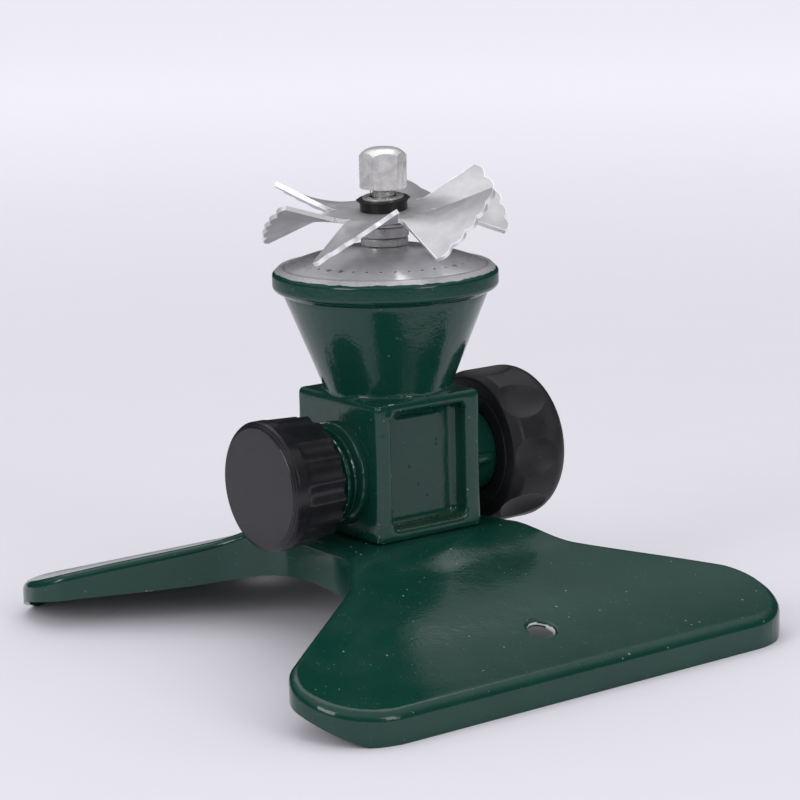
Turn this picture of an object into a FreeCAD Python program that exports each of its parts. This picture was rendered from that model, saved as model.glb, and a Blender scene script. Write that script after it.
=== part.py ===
import FreeCAD, Part
import math
import os

from FreeCAD import Vector

# Whirling lawn sprinkler with an in-line hose connection. Millimetres, +Z up.
# The origin is on the spindle axis at ground level. +X is the hose inlet side,
# -X the capped outlet side. The object is front-to-back symmetric but for the rotor.

# --- Allowances ---
# how far a cutter runs past what it cuts, and the smallest gap between two pieces
OVERCUT = 1.0
HAIR = 0.02

# --- Stand: a pressed steel arch with a turned-down rim ---
STAND_HALF_X = 77.2
STAND_HALF_Y = 84.1
STAND_WALL = 1.6
STAND_EDGE_R = 2.6
STAND_CORNER_R = 0.226 * STAND_HALF_Y
SIDE_CORNER_REACH = 0.0747 * STAND_HALF_Y
SIDE_CORNER_Y = 0.6942 * STAND_HALF_Y
WAIST_MARGIN = 9.7
WAIST_CORNER_Y = 24.1
WAIST_CORNER_R = 26.0
CROWN_Z = 28.4
CROWN_HALF_Y = 19.5
TOE_Z = 8.3
# shares of the way from the crown out to the toe, and of the drop that is still to come
SLOPE = [(0.221, 0.7264), (0.4649, 0.4627), (0.7088, 0.194)]
TOE_SLOPE = -0.13
# the rim's lower edge: shares of the way out to the foot, and of the crown's height
RIM_EDGE = [(0.0, 0.581), (0.2083, 0.5352), (0.4473, 0.3803), (0.674, 0.2852), (0.8701, 0.1725)]
RIM_END_SLOPE = -0.55
FOOT_LENGTH = 2.5
STAKE_HOLE_R = 3.6
STAKE_HOLE_Y = 0.7628 * STAND_HALF_Y

# --- Hose thread ---
THREAD_PITCH = 2.209
THREAD_CREST_R = 13.3
THREAD_DEPTH = 1.25
THREAD_CLEARANCE = 0.3
RIDGE_FOOT = 1.3
RIDGE_TIP = 0.45
RIDGE_SINK = 0.2

# --- End cap ---
CAP_GAP = 9.0
CAP_LENGTH = 16.85
CAP_WALL = 3.4
CAP_FLARE = 0.6
CAP_FLOOR = 2.5
CAP_EDGE_R = 1.5
CAP_MOUTH_EDGE_R = 0.4
CAP_FLUTES = 18
CAP_FLUTE_DEPTH = 0.7
CAP_BAND_LENGTH = 4.4
CAP_THREAD_TURNS = 4.2
CAP_OPEN_R = THREAD_CREST_R + THREAD_CLEARANCE + CAP_WALL
CAP_FACE_R = CAP_OPEN_R + CAP_FLARE

# --- Block: the lower part of the casting ---
BLOCK_HALF_X = 17.5
BLOCK_HALF_Y = 18.4
BLOCK_HEIGHT = 38.2
BLOCK_EDGE_R = 1.2
HOSE_RISE = CAP_FACE_R - 0.55
WATERWAY_R = 8.0
PANEL_SIDE_FRAME = 5.0
PANEL_TOP_FRAME = 3.0
PANEL_BOTTOM_FRAME = 3.4
PANEL_DEPTH = 5.6
PANEL_FLOOR_R = 2.6
PANEL_CORNER_R = 1.4

# --- Bell: the upper part of the casting ---
BELL_FOOT_R = BLOCK_HALF_X - 0.4
BELL_SPREAD = 10.5
BELL_HEIGHT = 26.0
BELL_WALL = 3.2
BELL_SUNK = 6.0
NECK_CORNER_R = 1.0
RIM_OVERHANG = 3.0
RIM_STEP = 1.6
RIM_HEIGHT = 4.6
RIM_CORNER_R = 1.4
RIM_EDGE_R = 0.5
LIP_RISE = 1.8
LIP_WIDTH = 1.2
LIP_EDGE_R = 0.8
THROAT_R = 9.2

# --- Jet disc ---
DISC_RISE = 5.6
DISC_THICKNESS = 1.0
DISC_CLEARANCE = 0.15
DISC_SEAT_WIDTH = 2.6
GASKET_THICKNESS = 1.5
GASKET_CLEARANCE = 0.1
JET_COUNT = 40
JET_MARGIN = 3.83
JET_R = 0.42
WIDE_JET_R = 0.75
WIDE_JETS = (24, 25, 31)
JET_TOOL_DEPTH = 3.0

# --- Spindle ---
STUD_R = 3.1
STUD_CHAMFER = 0.5
STUD_HOLE_FLOOR = 1.0
DISC_BORE_CLEARANCE = 0.1
CLAMP_NUT_R = STUD_R + 3.3
CLAMP_NUT_HEIGHT = 2.1
CLAMP_NUT_EDGE_R = 0.6
COLLAR_R = STUD_R + 3.5
COLLAR_HEIGHT = 2.85
COLLAR_EDGE_R = 0.35
RING_GAP = 0.1
O_RING_SECTION_R = 0.65
O_RING_CLEARANCE = 0.05
ACORN_ACROSS_FLATS = 2 * STUD_R + 4.9
ACORN_HEX_HEIGHT = 9.0
ACORN_DOME_HEIGHT = 2.2
ACORN_BORE_DEPTH = 7.0
ACORN_CHAMFER = 1.3
ACORN_FOOT_CHAMFER = 0.35
ACORN_SHOULDER_STEP = 0.4
ACORN_SHOULDER_R = 2.0
ACORN_DOME_STEP = 2.2
ACORN_DOME_R = 1.6

# --- Rotor ---
BLADE_COUNT = 6
BLADE_FIRST_ANGLE = 39.5
BLADE_TIP_R = 33.0
BLADE_TIP_HALF_ANGLE = 21.35
BLADE_HALF_RISE = 7.5
BLADE_ROOT_R = 13.5
BLADE_ROOT_HALF_ANGLE = 28.6
SHEET = 1.2
SCALLOP_COUNT = 5
SCALLOP_DEPTH = 1.0
ROTOR_TILT = 5.56
ROTOR_LEAN_AZIMUTH = 207.0
BUSH_PLAY = 0.5
BUSH_FOOT_R = STUD_R + 2.8
BUSH_FOOT_HEIGHT = 1.75
BUSH_NECK_R = STUD_R + 1.9
BUSH_BODY_R = STUD_R + 3.3
BUSH_BODY_HEIGHT = 2.6
BUSH_FLANGE_R = STUD_R + 4.2
BUSH_FLANGE_HEIGHT = 0.55
WASHER_R = STUD_R + 2.5
WASHER_THICKNESS = 0.6
THRUST_WASHER_R = STUD_R + 2.9
THRUST_WASHER_THICKNESS = 0.8
WASHER_PLAY = 0.5
WASHER_EDGE_R = 0.15
FLANGE_EDGE_R = 0.2
SCALLOP_SPREAD = 1.12
TIP_POINTS = 9
ROTOR_LIFT = 1.2

# --- Outlet ---
SPIGOT_LENGTH = 20.8
SPIGOT_SHOULDER_R = THREAD_CREST_R + 0.8
SPIGOT_SHOULDER_LENGTH = 1.6
SPIGOT_SHOULDER_EDGE_R = 0.6
SPIGOT_SLOPE = 0.8
SPIGOT_CHAMFER = 1.0
SPIGOT_ROOT = 2.0
THREAD_LEAD_IN = 0.4
THREAD_RUN_OUT = 2.2
CAP_WASHER_MARGIN = 1.0
CAP_WASHER_CLEARANCE = 0.4

# --- Inlet: boss, tailpiece and swivel nut ---
BOSS_R = 12.1
BOSS_LENGTH = 11.1
BOSS_RIB_WIDTH = 2.2
BOSS_RIB_HEIGHT = 0.8
TAIL_R = WATERWAY_R + 1.6
TAIL_PRESS_DEPTH = 10.0
TAIL_FLANGE_R = THREAD_CREST_R - 1.7
TAIL_FLANGE_THICKNESS = 2.0
TAIL_EDGE_R = 0.4
SWIVEL_RUNNING_GAP = 0.08
SWIVEL_FACE_GAP = 0.3
NUT_GAP = 10.05
NUT_LENGTH = 19.55
NUT_CORE_R = THREAD_CREST_R + 2.2
NUT_GRIP_WALL = 6.1
NUT_WEB = 2.2
NUT_MINOR_R = THREAD_CREST_R - 0.85
NUT_RELIEF_R = THREAD_CREST_R + 0.1
NUT_MOUTH_CHAMFER = 0.9
NUT_MOUTH_STEP = 0.6
NUT_SCOOPS = 8
NUT_SCOOP_DEPTH = 1.3
NUT_SCOOP_SHARE = 0.62
NUT_SCOOP_MARGIN = 6.5
NUT_SHOULDER_R = 5.0
NUT_NEAR_STEP = 1.0
NUT_NEAR_LENGTH = 3.0
NUT_NEAR_EDGE_R = 0.8
NUT_NEAR_SHOULDER_R = 2.0
NUT_BOSS_CLEARANCE = 0.5
HOSE_WASHER_THICKNESS = 3.0
HOSE_WASHER_R = NUT_RELIEF_R - 0.5
HOSE_WASHER_GAP = 0.4
SCREEN_R = WATERWAY_R + 0.6
SCREEN_THICKNESS = 0.8
SCREEN_MARGIN = 0.8
SCREEN_APERTURE = 1.1
SCREEN_SPACING = 1.75

# --- Fasteners ---
SCREW_R = 2.5
SCREW_X = BLOCK_HALF_X - 6.0
SCREW_DEPTH = 7.0
SCREW_TIP_GAP = 0.5
SCREW_HOLE_CLEARANCE = 0.3
SCREW_HEAD_R = 4.6
SCREW_HEAD_HEIGHT = 2.8
SCREW_HEAD_EDGE_R = 1.2
SCREW_CROSS = (5.0, 1.0)
SCREW_CROSS_DEPTH = 1.6
SCREW_WASHER_R = 5.2
SCREW_WASHER_THICKNESS = 1.0

# --- Places that follow from the sizes above ---
# --- Worked out from the sizes above ---
ORIGIN = Vector(0, 0, 0)
X_AXIS = Vector(1, 0, 0)
Y_AXIS = Vector(0, 1, 0)
Z_AXIS = Vector(0, 0, 1)
WAIST_HALF_X = BLOCK_HALF_X + WAIST_MARGIN
NOTCH_RISE = SIDE_CORNER_Y - WAIST_CORNER_Y
NOTCH_ANGLE = math.atan2(NOTCH_RISE, STAND_HALF_X - WAIST_HALF_X)
SIDE_CORNER_R = SIDE_CORNER_REACH * math.tan((math.pi / 2 + NOTCH_ANGLE) / 2)
FOOT_HALF_Y = STAND_HALF_Y - FOOT_LENGTH
TOE_Y = STAND_HALF_Y + OVERCUT
HOSE_AXIS_Z = CROWN_Z + HOSE_RISE
BLOCK_TOP_Z = CROWN_Z + BLOCK_HEIGHT
BELL_NECK_R = BELL_FOOT_R + BELL_SPREAD
BELL_NECK_Z = BLOCK_TOP_Z + BELL_HEIGHT
BELL_SLOPE = BELL_SPREAD / BELL_HEIGHT
RIM_R = BELL_NECK_R + RIM_OVERHANG
RIM_BOTTOM_Z = BELL_NECK_Z + RIM_STEP
RIM_TOP_Z = RIM_BOTTOM_Z + RIM_HEIGHT
LIP_Z = RIM_TOP_Z + LIP_RISE
DISC_R = RIM_R - 3.17
JET_CIRCLE_R = DISC_R - JET_MARGIN
DISC_EDGE_Z = LIP_Z
DISC_SPHERE_R = (DISC_R ** 2 + DISC_RISE ** 2) / (2 * DISC_RISE)
DISC_CENTRE_Z = DISC_EDGE_Z + DISC_RISE - DISC_SPHERE_R
SEAT_Z = DISC_EDGE_Z - DISC_THICKNESS - GASKET_THICKNESS
SEAT_R = DISC_R - DISC_SEAT_WIDTH
O_RING_R = STUD_R + O_RING_SECTION_R + O_RING_CLEARANCE


def disc_top_z(radius):
    """Height of the jet disc's upper face at a distance from the spindle axis."""
    return DISC_CENTRE_Z + math.sqrt(DISC_SPHERE_R ** 2 - radius ** 2)


O_RING_POCKET_R = O_RING_R + O_RING_SECTION_R + O_RING_CLEARANCE
O_RING_Z = disc_top_z(STUD_R) + O_RING_SECTION_R + HAIR
CLAMP_NUT_Z = disc_top_z(O_RING_POCKET_R) + HAIR
COLLAR_Z = CLAMP_NUT_Z + CLAMP_NUT_HEIGHT + RING_GAP
THRUST_Z = COLLAR_Z + COLLAR_HEIGHT + HAIR
TILT_DROP = BUSH_FOOT_R * math.sin(math.radians(ROTOR_TILT))
BUSH_Z = THRUST_Z + THRUST_WASHER_THICKNESS + TILT_DROP + 3 * HAIR
SHEET_Z = BUSH_Z + BUSH_FOOT_HEIGHT
BUSH_BODY_Z = SHEET_Z + SHEET
BUSH_FLANGE_Z = BUSH_BODY_Z + BUSH_BODY_HEIGHT
BUSH_TOP_Z = BUSH_FLANGE_Z + BUSH_FLANGE_HEIGHT
PIVOT_Z = (BUSH_Z + BUSH_TOP_Z) / 2
WASHER_TILT_RISE = WASHER_R * math.sin(math.radians(ROTOR_TILT))
ACORN_Z = BUSH_TOP_Z + WASHER_THICKNESS + WASHER_TILT_RISE + ROTOR_LIFT + WASHER_EDGE_R
STUD_TOP_Z = ACORN_Z + ACORN_BORE_DEPTH
THREAD_ROOT_R = THREAD_CREST_R - THREAD_DEPTH
THREAD_START_X = BLOCK_HALF_X + SPIGOT_SHOULDER_LENGTH + THREAD_LEAD_IN
SPIGOT_END_X = BLOCK_HALF_X + SPIGOT_LENGTH
CAP_OPEN_X = BLOCK_HALF_X + CAP_GAP
CAP_FACE_X = CAP_OPEN_X + CAP_LENGTH
CAP_BORE_R = THREAD_CREST_R + THREAD_CLEARANCE
BOSS_END_X = BLOCK_HALF_X + BOSS_LENGTH
NUT_R = NUT_CORE_R + NUT_GRIP_WALL
NUT_NEAR_X = BLOCK_HALF_X + NUT_GAP
NUT_FAR_X = NUT_NEAR_X + NUT_LENGTH
NUT_WEB_X = BOSS_END_X + SWIVEL_FACE_GAP
TAIL_FLANGE_X = NUT_WEB_X + NUT_WEB + SWIVEL_FACE_GAP
HOSE_WASHER_X = TAIL_FLANGE_X + TAIL_FLANGE_THICKNESS + RING_GAP
NUT_THREAD_X = HOSE_WASHER_X + HOSE_WASHER_THICKNESS + HOSE_WASHER_GAP


def outline(corners):
    """Closed wire through (x, y, radius) corners, each rounded by a tangent arc."""
    turns = []
    for i, (x, y, radius) in enumerate(corners):
        here = Vector(x, y, 0)
        back = (Vector(*corners[i - 1][:2], 0) - here).normalize()
        ahead = (Vector(*corners[(i + 1) % len(corners)][:2], 0) - here).normalize()
        if radius == 0:
            turns.append((here, None, here))
            continue
        half_angle = back.getAngle(ahead) / 2
        reach = radius / math.tan(half_angle)
        bisector = (back + ahead).normalize()
        middle = here + bisector * (radius / math.sin(half_angle) - radius)
        turns.append((here + back * reach, middle, here + ahead * reach))
    edges = []
    for i, (start, middle, end) in enumerate(turns):
        if middle is not None:
            edges.append(Part.Arc(start, middle, end).toShape())
        following = turns[(i + 1) % len(turns)][0]
        if (following - end).Length > 1e-6:
            edges.append(Part.LineSegment(end, following).toShape())
    return Part.Wire(edges)


def prism(corners, low, high):
    """Upright solid with a rounded outline, between two heights."""
    face = Part.Face(outline(corners))
    face.translate(Vector(0, 0, low))
    return face.extrude(Vector(0, 0, high - low))


def turned(corners):
    """Solid of revolution about Z from (radius, height, rounding) corners."""
    face = Part.Face(outline(corners))
    solid = face.revolve(ORIGIN, Y_AXIS, 360)
    solid.rotate(ORIGIN, X_AXIS, 90)
    return solid


def ring(inner, outer, low, high, rounding=0):
    """Flat ring about Z with its outer edges rounded."""
    corners = [(inner, low, 0), (outer, low, rounding)]
    corners += [(outer, high, rounding), (inner, high, 0)]
    return turned(corners)


def rod(radius, low, high):
    """Solid cylinder about Z."""
    return Part.makeCylinder(radius, high - low, Vector(0, 0, low))


def at_hose_axis(shape, side):
    """Turn a shape made about +Z so that it points to +X or -X on the hose axis."""
    shape.rotate(ORIGIN, Y_AXIS, 90 * side)
    shape.translate(Vector(0, 0, HOSE_AXIS_Z))
    return shape


def helical_ridge(start, length, from_r, to_r):
    """Right-handed thread ridge about Z that rises from one radius to another."""
    helix = Part.makeHelix(THREAD_PITCH, length, from_r)
    sunk = from_r - math.copysign(RIDGE_SINK, to_r - from_r)
    points = [(sunk, -RIDGE_FOOT / 2), (to_r, -RIDGE_TIP / 2)]
    points += [(to_r, RIDGE_TIP / 2), (sunk, RIDGE_FOOT / 2)]
    corners = [Vector(radius, 0, height) for radius, height in points]
    profile = Part.makePolygon(corners + corners[:1])
    ridge = Part.Wire(helix.Edges).makePipeShell([profile], True, True)
    ridge.translate(Vector(0, 0, start))
    return ridge


def leaned(shape):
    """Lean a rotor piece from level to the way it rests, about the bearing's middle."""
    azimuth = math.radians(ROTOR_LEAN_AZIMUTH)
    axis = Vector(-math.sin(azimuth), math.cos(azimuth), 0)
    shape.rotate(Vector(0, 0, PIVOT_Z), axis, ROTOR_TILT)
    return shape


# --- Stand ---


def stand_corners():
    """Corners of the stand's plan, one quarter mirrored to the other three."""
    quarter = [
        (WAIST_HALF_X, WAIST_CORNER_Y, WAIST_CORNER_R),
        (STAND_HALF_X, SIDE_CORNER_Y, SIDE_CORNER_R),
        (STAND_HALF_X, STAND_HALF_Y, STAND_CORNER_R),
    ]
    left_back = [(-x, y, r) for x, y, r in reversed(quarter)]
    left_front = [(-x, -y, r) for x, y, r in quarter]
    right_front = [(x, -y, r) for x, y, r in reversed(quarter)]
    return quarter + left_back + left_front + right_front


def smooth_edge(points, end_slope):
    """Edge through points that starts level and ends at a slope."""
    curve = Part.BSplineCurve()
    curve.interpolate(Points=points, InitialTangent=Y_AXIS,
                      FinalTangent=Vector(0, 1, end_slope))
    return curve.toShape()


def slope_edge(drop):
    """Edge down the stand's slope, from the crown to the toe, lowered by drop."""
    points = [Vector(0, CROWN_HALF_Y, CROWN_Z - drop)]
    for out, left in SLOPE:
        y = CROWN_HALF_Y + out * (TOE_Y - CROWN_HALF_Y)
        points.append(Vector(0, y, TOE_Z + left * (CROWN_Z - TOE_Z) - drop))
    points.append(Vector(0, TOE_Y, TOE_Z - drop))
    return smooth_edge(points, TOE_SLOPE)


def rim_edges():
    """Edges of the rim's lower line, from the middle to beyond the foot."""
    points = [Vector(0, out * FOOT_HALF_Y, up * CROWN_Z) for out, up in RIM_EDGE]
    points.append(Vector(0, FOOT_HALF_Y, 0))
    foot = Part.makeLine(points[-1], Vector(0, TOE_Y, 0))
    return [smooth_edge(points, RIM_END_SLOPE), foot]


def slab(lower_edges, drop):
    """Solid across the stand, from lower edges up to its top surface, lowered by drop."""
    slope = slope_edge(drop)
    middle = Vector(0, 0, CROWN_Z - drop)
    crown = Part.makeLine(middle, Vector(0, CROWN_HALF_Y, CROWN_Z - drop))
    first = lower_edges[0]
    last = lower_edges[-1]
    closing = Part.makeLine(slope.valueAt(slope.LastParameter), last.valueAt(last.LastParameter))
    upright = Part.makeLine(first.valueAt(first.FirstParameter), middle)
    edges = [crown, slope, closing, upright] + lower_edges
    face = Part.Face(Part.Wire(Part.__sortEdges__(edges)))
    face.translate(Vector(-STAND_HALF_X - OVERCUT, 0, 0))
    half = face.extrude(Vector(2 * (STAND_HALF_X + OVERCUT), 0, 0))
    return half.fuse(half.mirror(ORIGIN, Y_AXIS))


def joins_top_to_wall(shape, edge):
    """Does this edge join a face that looks up to an upright wall?"""
    middle = edge.valueAt((edge.FirstParameter + edge.LastParameter) / 2)
    rises = []
    for face in shape.ancestorsOfType(edge, Part.Face):
        rises.append(face.normalAt(*face.Surface.parameter(middle)).z)
    return len(rises) == 2 and max(rises) > 0.5 and min(abs(rise) for rise in rises) < 1e-3


def stand_base():
    """The arched stand, open underneath, with holes for screws and ground stakes."""
    plan = prism(stand_corners(), -OVERCUT, CROWN_Z + OVERCUT)
    outer = plan.common(slab(rim_edges(), 0)).removeSplitter()
    top_edges = [edge for edge in outer.Edges if joins_top_to_wall(outer, edge)]
    outer = outer.makeFillet(STAND_EDGE_R, top_edges)
    inner_plan = Part.Face(outline(stand_corners())).makeOffset2D(-STAND_WALL)
    inner_plan.translate(Vector(0, 0, -OVERCUT))
    inner = inner_plan.extrude(Vector(0, 0, CROWN_Z + 2 * OVERCUT))
    ground = Part.makeLine(Vector(0, 0, -OVERCUT), Vector(0, TOE_Y, -OVERCUT))
    stand = outer.cut(inner.common(slab([ground], STAND_WALL)))
    for side in (-1, 1):
        stake = rod(STAKE_HOLE_R, -OVERCUT, CROWN_Z)
        stake.translate(Vector(0, side * STAKE_HOLE_Y, 0))
        screw = rod(SCREW_R + SCREW_HOLE_CLEARANCE, 0, CROWN_Z + OVERCUT)
        screw.translate(Vector(side * SCREW_X, 0, 0))
        stand = stand.cut(stake).cut(screw)
    return stand


# --- Casting ---


def bell_shape():
    """Outside of the bell and its rim, from inside the block up to the lip."""
    low = BLOCK_TOP_Z - BELL_SUNK
    return turned([
        (0, low, 0),
        (BELL_FOOT_R - BELL_SLOPE * BELL_SUNK, low, 0),
        (BELL_NECK_R, BELL_NECK_Z, NECK_CORNER_R),
        (RIM_R, RIM_BOTTOM_Z, RIM_CORNER_R),
        (RIM_R, RIM_TOP_Z, RIM_EDGE_R),
        (DISC_R + DISC_CLEARANCE + LIP_WIDTH, LIP_Z, LIP_EDGE_R),
        (0, LIP_Z, 0),
    ])


def bell_hollow():
    """Water space of the bell, from the waterway up to the disc's seat and out."""
    inner_foot = BELL_FOOT_R - BELL_WALL
    upper_z = BLOCK_TOP_Z + (SEAT_R - inner_foot) / BELL_SLOPE
    mouth = DISC_R + DISC_CLEARANCE
    return turned([
        (0, HOSE_AXIS_Z, 0),
        (THROAT_R, HOSE_AXIS_Z, 0),
        (THROAT_R, HOSE_AXIS_Z + WATERWAY_R, 0),
        (inner_foot, BLOCK_TOP_Z, 0),
        (SEAT_R, upper_z, 0),
        (SEAT_R, SEAT_Z, 0),
        (mouth, SEAT_Z, 0),
        (mouth, LIP_Z + OVERCUT, 0),
        (0, LIP_Z + OVERCUT, 0),
    ])


def panel_recess(side):
    """Shallow recess with rounded corners in the block's front or back face."""
    half_x = BLOCK_HALF_X - PANEL_SIDE_FRAME
    low = CROWN_Z + PANEL_BOTTOM_FRAME
    high = BLOCK_TOP_Z - PANEL_TOP_FRAME
    height = high - low
    plan = [(-half_x, -height / 2, PANEL_CORNER_R), (half_x, -height / 2, PANEL_CORNER_R)]
    plan += [(half_x, height / 2, PANEL_CORNER_R), (-half_x, height / 2, PANEL_CORNER_R)]
    recess = prism(plan, 0, PANEL_DEPTH + OVERCUT)
    floor_edges = [e for e in recess.Edges if e.BoundBox.ZMax < 1e-6]
    recess = recess.makeFillet(PANEL_FLOOR_R, floor_edges)
    recess.rotate(ORIGIN, X_AXIS, 90 * side)
    recess.translate(Vector(0, -side * (BLOCK_HALF_Y - PANEL_DEPTH), (low + high) / 2))
    return recess


def casting_block():
    """Block with softened edges and a recessed panel on its front and back."""
    size = (2 * BLOCK_HALF_X, 2 * BLOCK_HALF_Y, BLOCK_TOP_Z - CROWN_Z)
    block = Part.makeBox(*size, Vector(-BLOCK_HALF_X, -BLOCK_HALF_Y, CROWN_Z))
    block = block.makeFillet(BLOCK_EDGE_R, block.Edges)
    for side in (-1, 1):
        block = block.cut(panel_recess(side))
    return block


def outlet_spigot():
    """Threaded outlet on the -X side, with a shoulder against the block."""
    shoulder = BLOCK_HALF_X + SPIGOT_SHOULDER_LENGTH
    spigot = turned([
        (0, BLOCK_HALF_X - SPIGOT_ROOT, 0),
        (SPIGOT_SHOULDER_R, BLOCK_HALF_X - SPIGOT_ROOT, 0),
        (SPIGOT_SHOULDER_R, shoulder, SPIGOT_SHOULDER_EDGE_R),
        (THREAD_ROOT_R, shoulder + SPIGOT_SLOPE, 0),
        (THREAD_ROOT_R, SPIGOT_END_X - SPIGOT_CHAMFER, 0),
        (THREAD_ROOT_R - SPIGOT_CHAMFER, SPIGOT_END_X, 0),
        (0, SPIGOT_END_X, 0),
    ])
    length = SPIGOT_END_X - THREAD_RUN_OUT - THREAD_START_X
    ridge = helical_ridge(THREAD_START_X, length, THREAD_ROOT_R, THREAD_CREST_R)
    return at_hose_axis(spigot.fuse(ridge), -1)


def inlet_boss():
    """Plain boss on the +X side with the mould line's rib along it."""
    boss = rod(BOSS_R, BLOCK_HALF_X - SPIGOT_ROOT, BOSS_END_X)
    length = NUT_GAP - NUT_NEAR_EDGE_R
    reach = 2 * (BOSS_R + BOSS_RIB_HEIGHT)
    corner = Vector(-BOSS_RIB_WIDTH / 2, -reach / 2, BLOCK_HALF_X)
    rib = Part.makeBox(BOSS_RIB_WIDTH, reach, length, corner)
    return at_hose_axis(boss.fuse(rib), 1)


def body_casting():
    """Block, bell, outlet spigot and inlet boss in one casting, with its waterways."""
    body = casting_block().fuse([bell_shape(), outlet_spigot(), inlet_boss()])
    waterway = at_hose_axis(rod(WATERWAY_R, -SPIGOT_END_X - OVERCUT, BOSS_END_X + OVERCUT), 1)
    socket_x = BOSS_END_X - TAIL_PRESS_DEPTH
    socket = at_hose_axis(rod(TAIL_R, socket_x, BOSS_END_X + OVERCUT), 1)
    stud_hole = rod(STUD_R, CROWN_Z + STUD_HOLE_FLOOR, HOSE_AXIS_Z)
    cuts = [bell_hollow(), waterway, socket, stud_hole]
    for side in (-1, 1):
        screw_hole = rod(SCREW_R, CROWN_Z - OVERCUT, CROWN_Z + SCREW_DEPTH)
        screw_hole.translate(Vector(side * SCREW_X, 0, 0))
        cuts.append(screw_hole)
    return body.cut(cuts)


# --- Jet disc and spindle ---


def jet_disc():
    """Domed disc with a circle of small jets square to its surface."""
    centre = Vector(0, 0, DISC_CENTRE_Z)
    dome = Part.makeSphere(DISC_SPHERE_R, centre)
    dome = dome.cut(Part.makeSphere(DISC_SPHERE_R - DISC_THICKNESS, centre))
    high = DISC_CENTRE_Z + DISC_SPHERE_R + OVERCUT
    disc = dome.common(rod(DISC_R, SEAT_Z, high))
    tools = [rod(STUD_R + DISC_BORE_CLEARANCE, SEAT_Z, high)]
    lean = math.degrees(math.asin(JET_CIRCLE_R / DISC_SPHERE_R))
    for i in range(JET_COUNT):
        radius = WIDE_JET_R if i in WIDE_JETS else JET_R
        jet = rod(radius, DISC_SPHERE_R - JET_TOOL_DEPTH, DISC_SPHERE_R + OVERCUT)
        jet.rotate(ORIGIN, Y_AXIS, lean)
        jet.rotate(ORIGIN, Z_AXIS, i * 360 / JET_COUNT)
        jet.translate(centre)
        tools.append(jet)
    return disc.cut(tools)


def disc_gasket():
    """Rubber ring on the bell's seat, its top following the disc's underside."""
    centre = Vector(0, 0, DISC_CENTRE_Z)
    high = SEAT_Z + GASKET_THICKNESS + DISC_THICKNESS
    blank = ring(SEAT_R + GASKET_CLEARANCE, DISC_R, SEAT_Z, high)
    return blank.common(Part.makeSphere(DISC_SPHERE_R - DISC_THICKNESS, centre))


def spindle_stud():
    """Stud from the block's floor through the disc and the rotor into the top nut."""
    low = CROWN_Z + STUD_HOLE_FLOOR
    return turned([
        (0, low, 0),
        (STUD_R - STUD_CHAMFER, low, 0),
        (STUD_R, low + STUD_CHAMFER, 0),
        (STUD_R, STUD_TOP_Z - STUD_CHAMFER, 0),
        (STUD_R - STUD_CHAMFER, STUD_TOP_Z, 0),
        (0, STUD_TOP_Z, 0),
    ])


def disc_clamp_nut():
    """Round nut that holds the disc down, with a pocket below for its O-ring."""
    high = CLAMP_NUT_Z + CLAMP_NUT_HEIGHT
    nut = ring(STUD_R, CLAMP_NUT_R, CLAMP_NUT_Z, high, CLAMP_NUT_EDGE_R)
    pocket_z = O_RING_Z + O_RING_SECTION_R + HAIR
    return nut.cut(rod(O_RING_POCKET_R, CLAMP_NUT_Z - OVERCUT, pocket_z))


def stud_o_ring():
    """O-ring round the stud, between the disc and the clamp nut."""
    return Part.makeTorus(O_RING_R, O_RING_SECTION_R, Vector(0, 0, O_RING_Z))


def spacer_collar():
    """Plain collar above the clamp nut that the thrust washer rests on."""
    return ring(STUD_R, COLLAR_R, COLLAR_Z, COLLAR_Z + COLLAR_HEIGHT, COLLAR_EDGE_R)


def thrust_washer():
    """Loose flat washer under the rotor's bush."""
    high = THRUST_Z + THRUST_WASHER_THICKNESS
    return ring(STUD_R + WASHER_PLAY, THRUST_WASHER_R, THRUST_Z, high, WASHER_EDGE_R)


def acorn_nut():
    """Hexagon nut with a domed top and a blind bore."""
    high = ACORN_Z + ACORN_HEX_HEIGHT + ACORN_DOME_HEIGHT
    half_flats = ACORN_ACROSS_FLATS / 2
    corner_r = ACORN_ACROSS_FLATS / math.sqrt(3)
    turns = [math.radians(30 + 60 * i) for i in range(6)]
    flats = [(corner_r * math.cos(t), corner_r * math.sin(t), 0) for t in turns]
    hexagon = prism(flats, ACORN_Z, high)
    outer_r = corner_r + HAIR
    shoulder_z = ACORN_Z + ACORN_HEX_HEIGHT
    envelope = turned([
        (0, ACORN_Z, 0),
        (outer_r - ACORN_FOOT_CHAMFER, ACORN_Z, 0),
        (outer_r, ACORN_Z + ACORN_FOOT_CHAMFER, 0),
        (outer_r, shoulder_z - ACORN_CHAMFER, 0),
        (half_flats - ACORN_SHOULDER_STEP, shoulder_z, ACORN_SHOULDER_R),
        (half_flats - ACORN_DOME_STEP, high, ACORN_DOME_R),
        (0, high, 0),
    ])
    return hexagon.common(envelope).cut(rod(STUD_R, ACORN_Z - OVERCUT, STUD_TOP_Z))


# --- Rotor ---


def blade_tip_curve():
    """Curved outer end of a blade, rising evenly from one side to the other."""
    points = []
    for i in range(TIP_POINTS):
        share = 2 * i / (TIP_POINTS - 1) - 1
        turn = math.radians(share * BLADE_TIP_HALF_ANGLE)
        across = Vector(BLADE_TIP_R * math.cos(turn), BLADE_TIP_R * math.sin(turn), 0)
        points.append(across + Vector(0, 0, share * BLADE_HALF_RISE))
    curve = Part.BSplineCurve()
    curve.interpolate(Points=points)
    return curve.toShape()


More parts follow.
